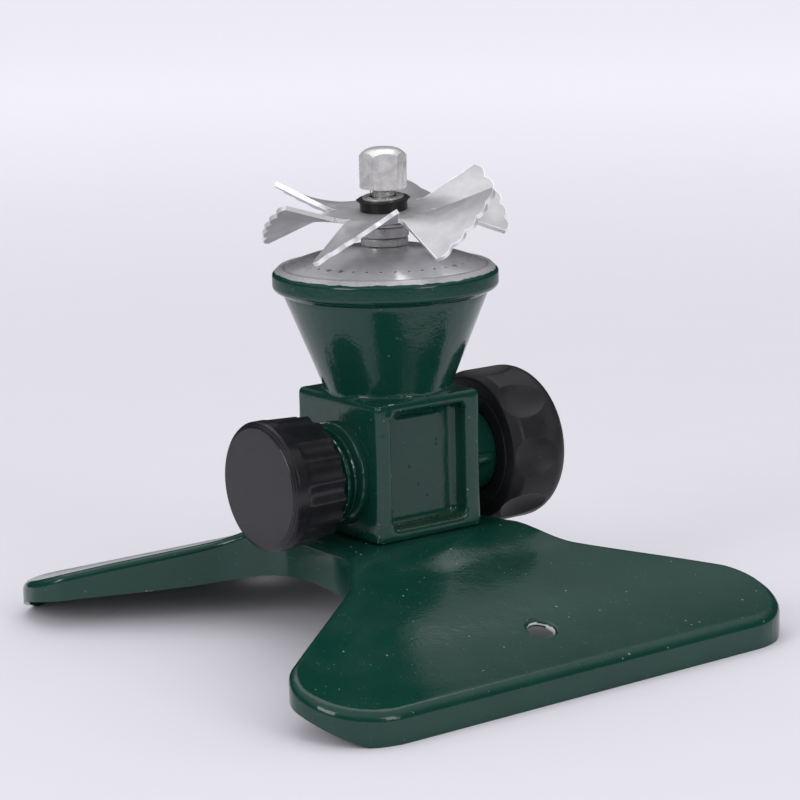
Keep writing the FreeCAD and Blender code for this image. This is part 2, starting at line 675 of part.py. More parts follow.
def scallop_cutter():
    """Ring that trims a blade's outer end to a row of round lobes."""
    low = -2 * BLADE_HALF_RISE
    high = 2 * BLADE_HALF_RISE
    step = 2 * BLADE_TIP_HALF_ANGLE / SCALLOP_COUNT
    lobe_r = SCALLOP_SPREAD * BLADE_TIP_R * math.sin(math.radians(step / 2))
    lobes = []
    for i in range(SCALLOP_COUNT):
        lobe = rod(lobe_r, low - OVERCUT, high + OVERCUT)
        lobe.translate(Vector(BLADE_TIP_R - lobe_r, 0, 0))
        lobe.rotate(ORIGIN, Z_AXIS, (i - (SCALLOP_COUNT - 1) / 2) * step)
        lobes.append(lobe)
    cutter = rod(BLADE_TIP_R + OVERCUT, low, high)
    cutter = cutter.cut(rod(BLADE_TIP_R - SCALLOP_DEPTH, low, high))
    return cutter.cut(lobes)


def blade():
    """One twisted blade about +X, flat where it leaves the hub."""
    turn = math.radians(BLADE_ROOT_HALF_ANGLE)
    side = Vector(BLADE_ROOT_R * math.cos(turn), BLADE_ROOT_R * math.sin(turn), 0)
    other = Vector(side.x, -side.y, 0)
    root = Part.Arc(other, Vector(BLADE_ROOT_R, 0, 0), side).toShape()
    skin = Part.makeRuledSurface(root, blade_tip_curve())
    return skin.extrude(Vector(0, 0, SHEET)).cut(scallop_cutter())


def rotor_blades():
    """Pressed rotor: a flat hub and blades twisted the same way."""
    hub = ring(BUSH_NECK_R + HAIR, BLADE_ROOT_R, 0, SHEET)
    pattern = blade()
    blades = []
    for i in range(BLADE_COUNT):
        turned_blade = pattern.copy()
        turned_blade.rotate(ORIGIN, Z_AXIS, BLADE_FIRST_ANGLE + i * 360 / BLADE_COUNT)
        blades.append(turned_blade)
    rotor = hub.fuse(blades)
    rotor.translate(Vector(0, 0, SHEET_Z))
    return leaned(rotor)


def rotor_bush():
    """Plastic bush clamped through the rotor's hub, loose on the stud."""
    bore = STUD_R + BUSH_PLAY
    return leaned(turned([
        (bore, BUSH_Z, 0),
        (BUSH_FOOT_R, BUSH_Z, 0),
        (BUSH_FOOT_R, SHEET_Z, 0),
        (BUSH_NECK_R, SHEET_Z, 0),
        (BUSH_NECK_R, BUSH_BODY_Z, 0),
        (BUSH_BODY_R, BUSH_BODY_Z, 0),
        (BUSH_BODY_R, BUSH_FLANGE_Z, 0),
        (BUSH_FLANGE_R, BUSH_FLANGE_Z, 0),
        (BUSH_FLANGE_R, BUSH_TOP_Z, FLANGE_EDGE_R),
        (bore, BUSH_TOP_Z, 0),
    ]))


def top_washer():
    """Loose washer on top of the bush."""
    high = BUSH_TOP_Z + WASHER_THICKNESS
    low = BUSH_TOP_Z + HAIR
    return leaned(ring(STUD_R + BUSH_PLAY, WASHER_R, low, high, WASHER_EDGE_R))


# --- End cap ---


def end_cap():
    """Screw cap for the outlet, fluted round its side and threaded inside."""
    floor_x = CAP_FACE_X - CAP_FLOOR
    shell = turned([
        (CAP_BORE_R, CAP_OPEN_X, 0),
        (CAP_OPEN_R, CAP_OPEN_X, CAP_MOUTH_EDGE_R),
        (CAP_FACE_R, CAP_FACE_X - CAP_BAND_LENGTH, 0),
        (CAP_FACE_R, CAP_FACE_X, CAP_EDGE_R),
        (0, CAP_FACE_X, 0),
        (0, floor_x, 0),
        (CAP_BORE_R, floor_x, 0),
    ])
    flute_r = math.pi * CAP_OPEN_R / CAP_FLUTES
    flutes = []
    for i in range(CAP_FLUTES):
        flute = rod(flute_r, CAP_OPEN_X - OVERCUT, CAP_FACE_X - CAP_BAND_LENGTH)
        flute.translate(Vector(CAP_FACE_R + flute_r - CAP_FLUTE_DEPTH, 0, 0))
        flute.rotate(ORIGIN, Z_AXIS, (i + 0.5) * 360 / CAP_FLUTES)
        flutes.append(flute)
    whole_turns = math.ceil((CAP_OPEN_X + OVERCUT - THREAD_START_X) / THREAD_PITCH)
    start = THREAD_START_X + (whole_turns + 0.5) * THREAD_PITCH
    ridge = helical_ridge(start, CAP_THREAD_TURNS * THREAD_PITCH, CAP_BORE_R,
                          THREAD_ROOT_R + THREAD_CLEARANCE)
    return at_hose_axis(shell.cut(flutes).fuse(ridge), -1)


def cap_washer():
    """Flat rubber washer between the cap's floor and the end of the spigot."""
    low = SPIGOT_END_X + HAIR
    high = CAP_FACE_X - CAP_FLOOR - HAIR
    inner = WATERWAY_R - CAP_WASHER_MARGIN
    outer = THREAD_ROOT_R - CAP_WASHER_CLEARANCE
    return at_hose_axis(ring(inner, outer, low, high), -1)


# --- Inlet ---


def swivel_tailpiece():
    """Flanged tube pressed into the boss, which keeps the swivel nut on."""
    end = TAIL_FLANGE_X + TAIL_FLANGE_THICKNESS
    return at_hose_axis(turned([
        (WATERWAY_R, BOSS_END_X - TAIL_PRESS_DEPTH, 0),
        (TAIL_R, BOSS_END_X - TAIL_PRESS_DEPTH, 0),
        (TAIL_R, TAIL_FLANGE_X, 0),
        (TAIL_FLANGE_R, TAIL_FLANGE_X, 0),
        (TAIL_FLANGE_R, end, TAIL_EDGE_R),
        (WATERWAY_R, end, 0),
    ]), 1)


def swivel_core():
    """Rigid inside of the swivel nut: the web round the tailpiece and the thread's wall."""
    bore = TAIL_R + SWIVEL_RUNNING_GAP
    mouth_x = NUT_FAR_X - NUT_MOUTH_STEP
    return at_hose_axis(turned([
        (bore, NUT_WEB_X, 0),
        (NUT_CORE_R, NUT_WEB_X, 0),
        (NUT_CORE_R, mouth_x, 0),
        (NUT_MINOR_R + NUT_MOUTH_CHAMFER, mouth_x, 0),
        (NUT_MINOR_R, mouth_x - NUT_MOUTH_CHAMFER, 0),
        (NUT_MINOR_R, NUT_THREAD_X, 0),
        (NUT_RELIEF_R, NUT_THREAD_X, 0),
        (NUT_RELIEF_R, NUT_WEB_X + NUT_WEB, 0),
        (bore, NUT_WEB_X + NUT_WEB, 0),
    ]), 1)


def swivel_grip():
    """Soft grip round the core, with finger scoops and large rounded shoulders."""
    inner = BOSS_R + NUT_BOSS_CLEARANCE
    grip = turned([
        (inner, NUT_NEAR_X, 0),
        (NUT_R - NUT_NEAR_STEP, NUT_NEAR_X, NUT_NEAR_EDGE_R),
        (NUT_R, NUT_NEAR_X + NUT_NEAR_LENGTH, NUT_NEAR_SHOULDER_R),
        (NUT_R, NUT_FAR_X, NUT_SHOULDER_R),
        (NUT_CORE_R, NUT_FAR_X, 0),
        (NUT_CORE_R, NUT_WEB_X, 0),
        (inner, NUT_WEB_X, 0),
    ])
    scoop_r = NUT_R * NUT_SCOOP_SHARE
    out = NUT_R - NUT_SCOOP_DEPTH + scoop_r
    scoops = []
    for i in range(NUT_SCOOPS):
        scoop = Part.makeSphere(scoop_r)
        scoop.translate(Vector(out, 0, NUT_NEAR_X + NUT_SCOOP_MARGIN))
        scoop.rotate(ORIGIN, Z_AXIS, i * 360 / NUT_SCOOPS)
        scoops.append(scoop)
    return at_hose_axis(grip.cut(scoops), 1)


def hose_washer():
    """Rubber washer that the hose end seals on."""
    high = HOSE_WASHER_X + HOSE_WASHER_THICKNESS
    washer = ring(WATERWAY_R, HOSE_WASHER_R, HOSE_WASHER_X, high)
    pocket = rod(SCREEN_R, HOSE_WASHER_X - OVERCUT, HOSE_WASHER_X + SCREEN_THICKNESS)
    return at_hose_axis(washer.cut(pocket), 1)


def inlet_screen():
    """Disc with a grid of square openings that keeps grit out."""
    screen = rod(SCREEN_R - HAIR, HOSE_WASHER_X, HOSE_WASHER_X + SCREEN_THICKNESS - HAIR)
    clear_r = WATERWAY_R - SCREEN_MARGIN
    half = SCREEN_APERTURE / 2
    depth = SCREEN_THICKNESS + 2 * OVERCUT
    reach = int(clear_r / SCREEN_SPACING)
    holes = []
    for i in range(-reach, reach + 1):
        for j in range(-reach, reach + 1):
            x = i * SCREEN_SPACING
            y = j * SCREEN_SPACING
            if math.hypot(abs(x) + half, abs(y) + half) > clear_r:
                continue
            corner = Vector(x - half, y - half, HOSE_WASHER_X - OVERCUT)
            holes.append(Part.makeBox(SCREEN_APERTURE, SCREEN_APERTURE, depth, corner))
    return at_hose_axis(screen.cut(holes), 1)


# --- Fasteners ---


def screw_seat_z():
    """Height of the stand's underside at the crown."""
    return CROWN_Z - STAND_WALL


def base_screws():
    """Two pan head screws, driven from under the stand."""
    head_top = screw_seat_z() - SCREW_WASHER_THICKNESS
    head_low = head_top - SCREW_HEAD_HEIGHT
    screws = []
    for side in (-1, 1):
        head = turned([
            (0, head_low, 0),
            (SCREW_HEAD_R, head_low, SCREW_HEAD_EDGE_R),
            (SCREW_HEAD_R, head_top, 0),
            (0, head_top, 0),
        ])
        screw = head.fuse(rod(SCREW_R, head_top, CROWN_Z + SCREW_DEPTH - SCREW_TIP_GAP))
        for length, width in (SCREW_CROSS, SCREW_CROSS[::-1]):
            corner = Vector(-length / 2, -width / 2, head_low - OVERCUT)
            arm = Part.makeBox(length, width, SCREW_CROSS_DEPTH + OVERCUT, corner)
            screw = screw.cut(arm)
        screw.translate(Vector(side * SCREW_X, 0, 0))
        screws.append(screw)
    return Part.makeCompound(screws)


def base_washers():
    """Flat washers under the screw heads."""
    high = screw_seat_z()
    washers = []
    for side in (-1, 1):
        low = high - SCREW_WASHER_THICKNESS
        washer = ring(SCREW_R, SCREW_WASHER_R, low, high, WASHER_EDGE_R)
        washer.translate(Vector(side * SCREW_X, 0, 0))
        washers.append(washer)
    return Part.makeCompound(washers)


MAKERS = [
    stand_base, body_casting, base_screws, base_washers, jet_disc, disc_gasket,
    spindle_stud, stud_o_ring, disc_clamp_nut, spacer_collar, thrust_washer,
    rotor_blades, rotor_bush, top_washer, acorn_nut, end_cap, cap_washer,
    swivel_tailpiece, swivel_core, swivel_grip, hose_washer, inlet_screen,
]

os.makedirs("parts", exist_ok=True)
for make in MAKERS:
    shape = make()
    shape.exportStep(f"parts/{make.__name__}.step")
    print(make.__name__, shape.isValid(), len(shape.Solids), round(shape.Volume, 2))
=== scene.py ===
import math
import random

import bmesh
import bpy
from mathutils import Matrix, Vector, noise


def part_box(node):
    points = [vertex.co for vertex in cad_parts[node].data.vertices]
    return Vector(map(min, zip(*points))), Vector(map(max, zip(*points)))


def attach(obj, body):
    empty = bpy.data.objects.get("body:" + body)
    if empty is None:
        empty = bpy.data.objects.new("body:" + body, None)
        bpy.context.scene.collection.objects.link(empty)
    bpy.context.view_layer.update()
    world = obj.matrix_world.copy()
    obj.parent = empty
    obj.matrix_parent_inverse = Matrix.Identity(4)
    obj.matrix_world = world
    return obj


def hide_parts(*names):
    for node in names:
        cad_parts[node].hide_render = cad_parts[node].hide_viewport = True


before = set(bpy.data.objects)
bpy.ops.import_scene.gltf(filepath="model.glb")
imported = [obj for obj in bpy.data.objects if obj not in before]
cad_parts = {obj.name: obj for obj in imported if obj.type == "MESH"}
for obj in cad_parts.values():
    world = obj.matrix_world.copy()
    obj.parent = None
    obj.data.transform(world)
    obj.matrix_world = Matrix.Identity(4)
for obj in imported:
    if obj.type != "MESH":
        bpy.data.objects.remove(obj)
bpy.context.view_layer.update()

bl_info = {
    "name": "Whirling Lawn Sprinkler",
    "version": (1, 0, 0),
    "blender": (4, 5, 0),
    "location": "3D View > Sidebar > Sprinkler",
    "description": "Finished pieces and finishes for a whirling lawn sprinkler",
    "category": "Add Mesh",
}

MM = 0.001
TURN = 2 * math.pi
BODY = "sprinkler_body"
UP = Vector((0, 0, 1))
ALONG = Vector((1, 0, 0))


def span(node):
    """Lowest and highest corner of a CAD node, in millimetres."""
    low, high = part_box(node)
    return low / MM, high / MM


_, STAND_HIGH = span("stand_base")
CASTING_LOW, CASTING_HIGH = span("body_casting")
_, DISC_HIGH = span("jet_disc")
STUD_LOW, STUD_HIGH = span("spindle_stud")
CLAMP_LOW, CLAMP_HIGH = span("disc_clamp_nut")
COLLAR_LOW, COLLAR_HIGH = span("spacer_collar")
THRUST_LOW, THRUST_HIGH = span("thrust_washer")
ACORN_LOW, ACORN_HIGH = span("acorn_nut")
CAP_LOW, CAP_HIGH = span("end_cap")
CORE_LOW, _ = span("swivel_core")
GRIP_LOW, GRIP_HIGH = span("swivel_grip")
SCREEN_LOW, SCREEN_HIGH = span("inlet_screen")

# Stand
CROWN_Z = STAND_HIGH.z
STAND_HALF_X = STAND_HIGH.x
STAND_HALF_Y = STAND_HIGH.y
WAIST_HALF_X = 27.2
WAIST_CORNER_Y = 24.1
WAIST_CORNER_R = 26.0
SIDE_CORNER_Y = 58.38
SIDE_CORNER_R = 12.0
STAND_CORNER_R = 19.0
CROWN_HALF_Y = 19.5
SLOPE = [(34.0, 22.9), (50.0, 17.6), (66.0, 12.2)]
TOE = (85.1, 8.3)
TOE_SLOPE = -0.13
RIM_EDGE = [(0.0, 16.5), (17.0, 15.2), (36.5, 10.8), (55.0, 8.1), (71.0, 4.9), (81.6, 0.0)]
RIM_END_SLOPE = -0.55
STAKE_HOLE_Y = 64.15
STAKE_HOLE_R = 3.6
SCREW_HOLE_R = 2.8
SCREW_X = 11.5
STAND_BLANK = 10.0

# Casting
BLOCK_HALF_X = 17.5
BLOCK_HALF_Y = 18.4
BLOCK_TOP_Z = 66.6
BLOCK_EDGE_R = 1.2
PANEL_SIDE_FRAME = 5.0
PANEL_TOP_FRAME = 3.0
PANEL_BOTTOM_FRAME = 3.4
PANEL_DEPTH = 5.6
PANEL_FLOOR_R = 1.9
PANEL_CORNER_R = 2.3
HOSE_AXIS_Z = (CAP_LOW.z + CAP_HIGH.z) / 2
WATERWAY_R = 8.0
THROAT_R = 9.2
TAIL_R = 9.6
BELL_FOOT_R = 17.1
BELL_NECK_R = 27.6
BELL_NECK_Z = 92.6
BELL_WALL = 3.2
RIM_R = 30.6
RIM_BOTTOM_Z = 94.2
RIM_TOP_Z = 98.8
LIP_Z = CASTING_HIGH.z
SEAT_Z = 98.1
SEAT_R = 24.83
MOUTH_R = 27.58
BOSS_R = 12.1
BOSS_END_X = 28.6
SHOULDER_R = 14.1
THREAD_ROOT_R = 12.05
THREAD_CREST_R = 13.3
THREAD_PITCH = 2.209
SPIGOT_END_X = -CASTING_LOW.x

CAST_CELL = 0.62
BLOCK_LUMPS = ((-13.4, 3.6, 1.5, 0.35), (-15.6, 9.0, 0.9, 0.2))
SHOULDER_RUNS = ((0.4, 0.9), (1.9, 1.3), (2.6, 0.8), (4.4, 1.1))

# Disc and spindle
DISC_R = DISC_HIGH.x
DISC_RISE = 5.6
DISC_EDGE_Z = LIP_Z
DISC_SPHERE_R = (DISC_R ** 2 + DISC_RISE ** 2) / (2 * DISC_RISE)
DISC_CENTRE_Z = DISC_EDGE_Z + DISC_RISE - DISC_SPHERE_R
DISC_WALL = 1.0
JET_COUNT = 40
JET_CIRCLE_R = 23.6
JET_R = 0.42
WIDE_JET_R = 0.75
WIDE_JETS = (22, 23, 32)
JET_PHASE = math.radians(-3.2)
STUD_R = 3.1
ACORN_FLATS = 11.1
ACORN_RISE = 2.3

# Rotor
ROTOR_TILT = math.radians(5.56)
LEAN_AZIMUTH = math.radians(207.0)
BUSH_LOW_Z = 112.577
SHEET_Z = 114.327
BUSH_TOP_Z = 118.677
PIVOT = Vector((0, 0, 115.627))
BLADE_COUNT = 6
BLADE_FIRST_ANGLE = 39.5
BLADE_TIP_R = 33.0
BLADE_TIP_HALF_ANGLE = 21.35
BLADE_HALF_RISE = 7.5
BLADE_ROOT_R = 13.5
BLADE_ROOT_HALF_ANGLE = 28.6
SCALLOPS = 5
LOBE_R = 2.752
HUB_BORE_R = 5.05
BURRS = ((143, 5), (-37, 4), (-62, 3), (20, 5), (95, 4), (-130, 3))

BLADE_ROWS = 44
BLADE_COLUMNS = 50
BLADE_BEND = 0.1
BUSH_FOOT_R = 5.9
BUSH_WAIST_R = 5.0
BUSH_NECK_R = 6.4
BUSH_FLANGE_R = 7.3
BUSH_FLANGE = 0.55

# Cap and swivel nut
CAP_OPEN_X = -CAP_HIGH.x
CAP_FACE_X = -CAP_LOW.x
CAP_FACE_R = 17.6
CAP_OPEN_R = 17.0
CAP_FLOOR = 2.5
CAP_BORE_R = 13.6
CAP_BAND = 4.4
CAP_FLUTES = 18
CAP_FLUTE_DEPTH = 0.7
NUT_R = GRIP_HIGH.y
NUT_NEAR_X = GRIP_LOW.x
NUT_FAR_X = GRIP_HIGH.x
NUT_CORE_R = 15.5
NUT_WEB_X = CORE_LOW.x
NUT_WEB = 2.2
NUT_MINOR_R = 12.45
NUT_RELIEF_R = 13.4
NUT_THREAD_X = 36.9
NUT_SHOULDER_R = 5.0
NUT_SCOOPS = 8
SCREEN_PITCH = 1.15
NUT_SCOOP_DEPTH = 2.1
NUT_SCOOP_R = 11.8


# How metallic each kind of bare metal is, under its thin dull oxide
BARE = 0.55
TURNED_BARE = 0.6
SHEET_BARE = 0.66


# Camera: its right, up and back directions and its place, as the columns of a matrix
CAMERA = ((0.79854647, 0.13949429, -0.58554664, -0.4296),
          (-0.60155061, 0.15026451, -0.78457469, -0.5810),
          (-0.02145681, 0.97875529, 0.20390607, 0.2135),
          (0, 0, 0, 1))


# --- Settings ---


def length(name, text, default):
    """Length setting in metres."""
    return bpy.props.FloatProperty(name=name, description=text, default=default,
                                   min=0.0, unit="LENGTH", subtype="DISTANCE")


def amount(name, text, default):
    """Setting between nothing and all."""
    return bpy.props.FloatProperty(name=name, description=text, default=default,
                                   min=0.0, max=1.0, subtype="FACTOR")


def paint(name, text, default):
    """Colour setting."""
    return bpy.props.FloatVectorProperty(name=name, description=text, default=default,
                                         size=3, min=0.0, max=1.0, subtype="COLOR")


class SprinklerSizes(bpy.types.PropertyGroup):
    stand_wall: length("Stand wall", "Thickness of the stand's wall", 0.0016)
    stand_edge: length("Stand edge", "Rounding of the stand's upper edge", 0.0026)
    rotor_sheet: length("Rotor sheet", "Thickness of the rotor's sheet", 0.0012)
    cast_grain: length("Cast grain", "Unevenness left by the casting mould", 0.00004)
    screen_wire: length("Screen wire", "Thickness of the inlet screen's wire", 0.0004)


class SprinklerFinishes(bpy.types.PropertyGroup):
    enamel: paint("Enamel", "Colour of the stand and the casting", (0.0036, 0.036, 0.0245))
    plastic: paint("Cap plastic", "Colour of the screw cap", (0.011, 0.0105, 0.0125))
    rubber: paint("Grip rubber", "Colour of the swivel nut's grip", (0.011, 0.011, 0.012))
    aluminium: paint("Aluminium", "Colour of the disc and the rotor", (0.78, 0.78, 0.79))
    brass: paint("Brass", "Colour of the tailpiece", (0.72, 0.50, 0.22))
    wear: amount("Wear", "How much enamel is rubbed off the edges", 0.5)
    dust: amount("Dust", "How much dust lies on the piece", 0.5)


class SprinklerStage(bpy.types.PropertyGroup):
    backdrop: paint("Backdrop", "Colour of the floor and the sweep", (0.80, 0.785, 0.835))
    key: bpy.props.FloatProperty(name="Key light", description="Power of the large front light",
                                 default=4.0, min=0.0, unit="POWER")
    top: bpy.props.FloatProperty(name="Top light", description="Power of the light overhead",
                                 default=3.4, min=0.0, unit="POWER")
    lens: bpy.props.FloatProperty(name="Lens", description="Focal length of the camera",
                                  default=121.76, min=10.0, unit="CAMERA")


# --- Mesh tools, in millimetres ---


def round_corner(bm, vert, rounding, steps=5):
    """Round a corner of a chain to a radius."""
    ways = [(e.other_vert(vert).co - vert.co).normalized() for e in vert.link_edges]
    reach = rounding / math.tan(ways[0].angle(ways[1]) / 2)
    bmesh.ops.bevel(bm, geom=[vert], offset=reach, offset_type="OFFSET", segments=steps,
                    profile=0.5, affect="VERTICES", material=-1)


def chain(corners, closed=True, steps=5):
    """Profile through (radius, height, rounding) corners, in a new mesh."""
    bm = bmesh.new()
    verts = [bm.verts.new((radius, 0, height)) for radius, height, _ in corners]
    for pair in zip(verts, verts[1:]):
        bm.edges.new(pair)
    if closed:
        bm.edges.new((verts[-1], verts[0]))
    for vert, (_, _, rounding) in zip(verts, corners):
        if rounding:
            round_corner(bm, vert, rounding, steps)
    return bm


def spin(bm, steps):
    """Turn a profile all the way round Z."""
    bmesh.ops.spin(bm, geom=bm.verts[:] + bm.edges[:], cent=(0, 0, 0), axis=UP,
                   dvec=(0, 0, 0), angle=TURN, steps=steps, use_merge=True,
                   use_duplicate=False)
    bmesh.ops.remove_doubles(bm, verts=bm.verts, dist=1e-4)
    bmesh.ops.recalc_face_normals(bm, faces=bm.faces)
    return bm


def lathe(corners, steps=96, closed=True, round_steps=5):
    """Turned shape about Z from (radius, height, rounding) corners."""
    return spin(chain(corners, closed, round_steps), steps)


def ring(inner, outer, low, high, rounding=0.0, steps=96):
    """Flat ring about Z with its edges rounded."""
    soft = min(rounding, 0.12)
    return lathe([(inner, low, soft), (outer, low, rounding),
                  (outer, high, rounding), (inner, high, soft)], steps)


def move(bm, x=0.0, y=0.0, z=0.0):
    """Shift a whole mesh."""
    bmesh.ops.translate(bm, vec=(x, y, z), verts=bm.verts)
    return bm


def turn(bm, angle, axis, centre=(0, 0, 0)):
    """Turn a whole mesh about an axis through a centre."""
    bmesh.ops.rotate(bm, cent=centre, matrix=Matrix.Rotation(angle, 3, axis), verts=bm.verts)
    return bm


def at_hose_axis(bm, side):
    """Turn a mesh made about +Z so that it points to +X or -X on the hose axis."""
    turn(bm, side * TURN / 4, "Y")
    return move(bm, z=HOSE_AXIS_Z)


def join(*meshes):
    """All the meshes as one."""
    result = meshes[0]
    for other in meshes[1:]:
        copy = bpy.data.meshes.new("joined")
        other.to_mesh(copy)
        other.free()
        result.from_mesh(copy)
        bpy.data.meshes.remove(copy)
    return result


def shaped_by(bm, *steps):
    """A mesh after modifiers given as (kind, settings)."""
    mesh = bpy.data.meshes.new("blank")
    bm.to_mesh(mesh)
    bm.free()
    blank = bpy.data.objects.new("blank", mesh)
    bpy.context.scene.collection.objects.link(blank)
    for kind, settings in steps:
        modifier = blank.modifiers.new(kind, kind)
        for key, value in settings.items():
            setattr(modifier, key, value)
    result = bmesh.new()
    result.from_object(blank, bpy.context.evaluated_depsgraph_get())
    bpy.data.objects.remove(blank)
    bpy.data.meshes.remove(mesh)
    return result


def combine(bm, tool, operation="DIFFERENCE", tangled=False):
    """Exact Boolean of two closed meshes, either of which may cross itself when tangled."""
    mesh = bpy.data.meshes.new("tool")
    tool.to_mesh(mesh)
    tool.free()
    holder = bpy.data.objects.new("tool", mesh)
    bpy.context.scene.collection.objects.link(holder)
    result = shaped_by(bm, ("BOOLEAN", {"object": holder, "operation": operation,
                                        "solver": "EXACT", "use_self": tangled}))
    bpy.data.objects.remove(holder)
    bpy.data.meshes.remove(mesh)
    return result


def coil(bm, pitch, turns, steps):
    """Sweep a profile up round Z, one step at a time: the number of steps made."""
    count = int(turns * steps)
    bmesh.ops.spin(bm, geom=bm.verts[:] + bm.edges[:], cent=(0, 0, 0), axis=UP,
                   dvec=(0, 0, pitch / steps), angle=TURN * count / steps, steps=count,
                   use_merge=False, use_duplicate=False)
    return count


def closed_coil(bm, start):
    """Close both ends of a coil and set it at its start."""
    bmesh.ops.holes_fill(bm, edges=bm.edges, sides=0)
    bmesh.ops.recalc_face_normals(bm, faces=bm.faces)
    return move(bm, z=start)


def helix_ridge(foot_r, crest_r, start, turns, foot=1.3, tip=0.45, steps=48):
    """Thread ridge about Z, faded in and out over its first and last third of a turn."""
    sunk = foot_r - math.copysign(0.2, crest_r - foot_r)
    bm = chain([(sunk, -foot / 2, 0), (crest_r, -tip / 2, 0.12), (crest_r, tip / 2, 0.12),
                (sunk, foot / 2, 0)], steps=2)
    size = len(bm.verts)
    count = coil(bm, THREAD_PITCH, turns, steps)
    bm.verts.ensure_lookup_table()
    for i, vert in enumerate(bm.verts):
        done = (i // size) / steps
        share = min(1.0, 0.12 + 2.6 * done, 0.12 + 2.6 * (count / steps - done))
        radius = math.hypot(vert.co.x, vert.co.y)
        wanted = sunk + (radius - sunk) * share
        vert.co.x *= wanted / radius
        vert.co.y *= wanted / radius
    return closed_coil(bm, start)


def mark_edges(bm):
    """Store how sharply the surface bulges at each vertex, for worn edges."""
    layer = bm.verts.layers.float.new("edge_wear")
    for vert in bm.verts:
        bulge = 0.0
        for edge in vert.link_edges:
            if len(edge.link_faces) == 2:
                first, second = edge.link_faces
                apart = (first.calc_center_median() - second.calc_center_median()).length
                bulge = max(bulge, edge.calc_face_angle_signed(0.0) / max(apart, 0.25))
        vert[layer] = min(1.0, max(0.0, bulge))


def piece(name, bm, body, finishes, replaces=(), sharp=32.0, even=True):
    """Finished object from a mesh in millimetres, riding on a CAD body."""
    bm.normal_update()
    mark_edges(bm)
    limit = math.radians(sharp)
    for edge in bm.edges:
        edge.smooth = len(edge.link_faces) == 2 and edge.calc_face_angle(0.0) < limit
    for face in bm.faces:
        face.smooth = True
    bmesh.ops.scale(bm, vec=(MM, MM, MM), verts=bm.verts)
    mesh = bpy.data.meshes.new(name)
    bm.to_mesh(mesh)
    bm.free()
    for finish in finishes:
        mesh.materials.append(finish)
    obj = bpy.data.objects.new(name, mesh)
    bpy.context.scene.collection.objects.link(obj)
    if even:
        modifier = obj.modifiers.new("Even shading", "WEIGHTED_NORMAL")
        modifier.keep_sharp = True
    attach(obj, body)
    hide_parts(*replaces)
    return obj


def line_through(points, first_slope, last_slope):
    """Height function that runs smoothly through (distance, height) points."""
    rises = [(z1 - z0) / (y1 - y0) for (y0, z0), (y1, z1) in zip(points, points[1:])]
    slopes = [first_slope] + [(a + b) / 2 for a, b in zip(rises, rises[1:])] + [last_slope]

    def height(y):
        if y <= points[0][0]:
            return points[0][1]
        if y >= points[-1][0]:
            return points[-1][1]
        i = max(k for k, point in enumerate(points[:-1]) if y >= point[0])
        (y0, z0), (y1, z1) = points[i], points[i + 1]
        t = (y - y0) / (y1 - y0)
        wide = y1 - y0
        return ((2 * t ** 3 - 3 * t ** 2 + 1) * z0 + (t ** 3 - 2 * t ** 2 + t) * wide * slopes[i]
                + (3 * t ** 2 - 2 * t ** 3) * z1 + (t ** 3 - t ** 2) * wide * slopes[i + 1])

    return height


def uneven(bm, depth, size, seed, where=None):
    """Move each vertex along its normal by smooth noise."""
    shift = Vector((seed * 17.3, seed * 5.1, seed * 9.7))
    bm.normal_update()
    moves = []
    for vert in bm.verts:
        share = 1.0 if where is None else where(vert.co)
        value = noise.fractal(vert.co / size + shift, 0.8, 2.0, 3)
        moves.append(vert.normal * depth * value * share)
    for vert, step in zip(bm.verts, moves):
        vert.co += step
    return bm


# --- Shader tools ---


class Wiring:
    """Adds nodes to a tree and joins them."""

    def __init__(self, tree):
        self.tree = tree

    def feed(self, socket, value):
        if isinstance(value, bpy.types.NodeSocket):
            self.tree.links.new(value, socket)
        else:
            socket.default_value = value

    def add(self, kind, inputs=None, **settings):
        node = self.tree.nodes.new("ShaderNode" + kind)
        for key, value in settings.items():
            setattr(node, key, value)
        for key, value in (inputs or {}).items():
            self.feed(node.inputs[key], value)
        return node

    def maths(self, operation, *values, clamp=False):
        node = self.add("Math", operation=operation, use_clamp=clamp)
        for socket, value in zip(node.inputs, values):
            self.feed(socket, value)
        return node.outputs[0]

    def noise(self, place, size, detail=3.0, roughness=0.5, distortion=0.0):
        """Noise with features of a size in millimetres."""
        inputs = {"Vector": place, "Scale": 1 / (size * MM), "Detail": detail,
                  "Roughness": roughness, "Distortion": distortion}
        return self.add("TexNoise", inputs).outputs["Fac"]

    def ramp(self, value, low, high, to_low=0.0, to_high=1.0):
        """Smooth step of a value between two levels."""
        node = self.add("MapRange", interpolation_type="SMOOTHSTEP")
        for key, item in zip(("Value", "From Min", "From Max", "To Min", "To Max"),
                             (value, low, high, to_low, to_high)):
            self.feed(node.inputs[key], item)
        return node.outputs["Result"]

    def mix(self, mask, first, second):
        """Mix of two colours."""
        node = self.add("Mix", data_type="RGBA")
        for index, item in ((0, mask), (6, first), (7, second)):
            self.feed(node.inputs[index], item)
        return node.outputs[2]

    def group(self, name, **inputs):
        """A shared effect, with its own values."""
        node = self.tree.nodes.new("ShaderNodeGroup")
        node.node_tree = bpy.data.node_groups[name]
        for key, value in inputs.items():
            self.feed(node.inputs[key.replace("_", " ").capitalize()], value)
        return node.outputs


def effect(name, inputs, outputs, build):
    """Build a shared effect as a node group."""
    tree = bpy.data.node_groups.new(name, "ShaderNodeTree")
    for label, kind, default in inputs:
        socket = tree.interface.new_socket(name=label, in_out="INPUT",
                                           socket_type="NodeSocket" + kind)
        if default is not None:
            socket.default_value = default
    for label, kind in outputs:
        tree.interface.new_socket(name=label, in_out="OUTPUT", socket_type="NodeSocket" + kind)
    start = tree.nodes.new("NodeGroupInput")
    end = tree.nodes.new("NodeGroupOutput")
    wiring = Wiring(tree)
    for label, value in build(wiring, start.outputs).items():
        wiring.feed(end.inputs[label], value)


